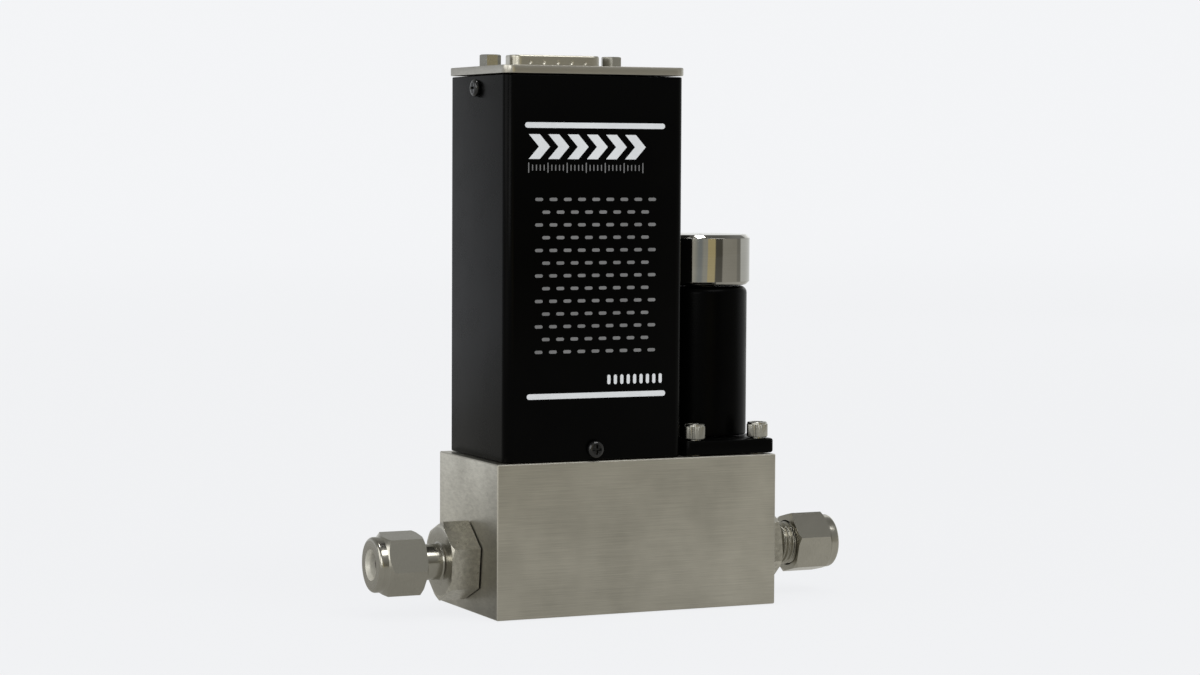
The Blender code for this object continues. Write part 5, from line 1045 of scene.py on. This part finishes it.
def stage():
    """Floor that sweeps up into a backdrop behind the object; its sizes are in metres."""
    front, back, height, radius, half_width, below = -4.0, 3.2, 3.5, 0.9, 5.0, 0.0003
    arc = np.linspace(0.0, pi / 2.0, 24)
    bend = np.column_stack([back - radius + radius * np.sin(arc), radius - radius * np.cos(arc)])
    profile = np.vstack([[(front, 0.0)], bend, [(back, height)]])
    points = np.array([(x, y, z - below) for y, z in profile for x in (-half_width, half_width)])
    index = np.arange(len(points)).reshape(-1, 2)
    faces = np.stack([index[:-1, 0], index[:-1, 1], index[1:, 1], index[1:, 0]], axis=-1)
    mesh = bpy.data.meshes.new("sweep")
    mesh.from_pydata(points.tolist(), [], faces.tolist())
    mesh.shade_smooth()
    mesh.materials.append(stage_finish())
    sweep = bpy.data.objects.new("sweep", mesh)
    bpy.context.scene.collection.objects.link(sweep)


def world():
    """Plain ambient light; in metal the room shows as upright bands round the horizon."""
    made = bpy.data.worlds.new("studio")
    bpy.context.scene.world = made
    made.use_nodes = True
    tree = made.node_tree
    tree.nodes.clear()
    room = studio_colour(tree, add(tree, "ShaderNodeTexCoord").outputs["Generated"])
    path, seen = rays(tree)
    lit = tint(tree, path["Is Glossy Ray"], AMBIENT, room)
    background = add(tree, "ShaderNodeBackground")
    tree.links.new(tint(tree, seen, lit, BACKDROP), background.inputs["Color"])
    out = add(tree, "ShaderNodeOutputWorld")
    tree.links.new(background.outputs[0], out.inputs["Surface"])


def lamp(name, place, size, power, target=OBJECT_MIDDLE):
    """A soft rectangular lamp aimed at a point."""
    light = bpy.data.lights.new(name, "AREA")
    light.shape = "RECTANGLE"
    light.size, light.size_y = size
    light.energy = power
    item = bpy.data.objects.new(name, light)
    item.location = place
    item.rotation_euler = (Vector(target) - Vector(place)).to_track_quat("-Z", "Y").to_euler()
    bpy.context.scene.collection.objects.link(item)


def lights():
    """Wide key from the front right above, softer lamps from the left, one overhead and a weak one behind."""
    port = PORT_HEIGHT * MM
    lamp("key", (0.353, -0.671, 1.054), (0.66, 0.36), 4.2, (-0.05, 0.0, port))
    lamp("front_left", (-0.78, -0.99, 0.46), (0.50, 0.60), 3.0, (-0.06, 0.0, port))
    lamp("left_fill", (-1.30, -0.10, 0.70), (1.0, 0.9), 5.0)
    lamp("top", (VALVE_X * MM, 0.0, 1.50), (0.25, 0.25), 2.6)
    lamp("back_right", (0.9, 0.9, 0.6), (0.5, 0.8), 0.7)


def camera():
    """The photograph's view: a turn to the left, a slight look down, a small roll and a long lens."""
    yaw, pitch, roll = radians(24.64), radians(3.39), radians(0.30)
    place = (-0.315086, -0.682040, 0.111760)
    back = Vector((-sin(yaw) * cos(pitch), -cos(yaw) * cos(pitch), sin(pitch)))
    right = (-back).cross(Vector((0.0, 0.0, 1.0))).normalized()
    up = right.cross(-back)
    across = right * cos(roll) + up * sin(roll)
    upward = -right * sin(roll) + up * cos(roll)
    data = bpy.data.cameras.new("view")
    data.lens = 89.348
    data.sensor_width = 36.0
    data.clip_start = 0.01
    item = bpy.data.objects.new("view", data)
    turn = Matrix((across, upward, back)).transposed()
    item.matrix_world = Matrix.Translation(place) @ turn.to_4x4()
    bpy.context.scene.collection.objects.link(item)
    bpy.context.scene.camera = item


dress_nodes()
fittings()
cover_box()
end_plate()
cover_screws()
connector_wall()
jack_hexagon("left_jack_hexagon", COVER_X - JACKSCREW_REACH, radians(50.0), ("jackscrew_left",))
jack_hexagon("right_jack_hexagon", COVER_X + JACKSCREW_REACH, radians(12.0), ("jackscrew_right",))
valve()
front_print()
stage()
world()
lights()
camera()
bpy.context.scene.view_settings.view_transform = "Standard"
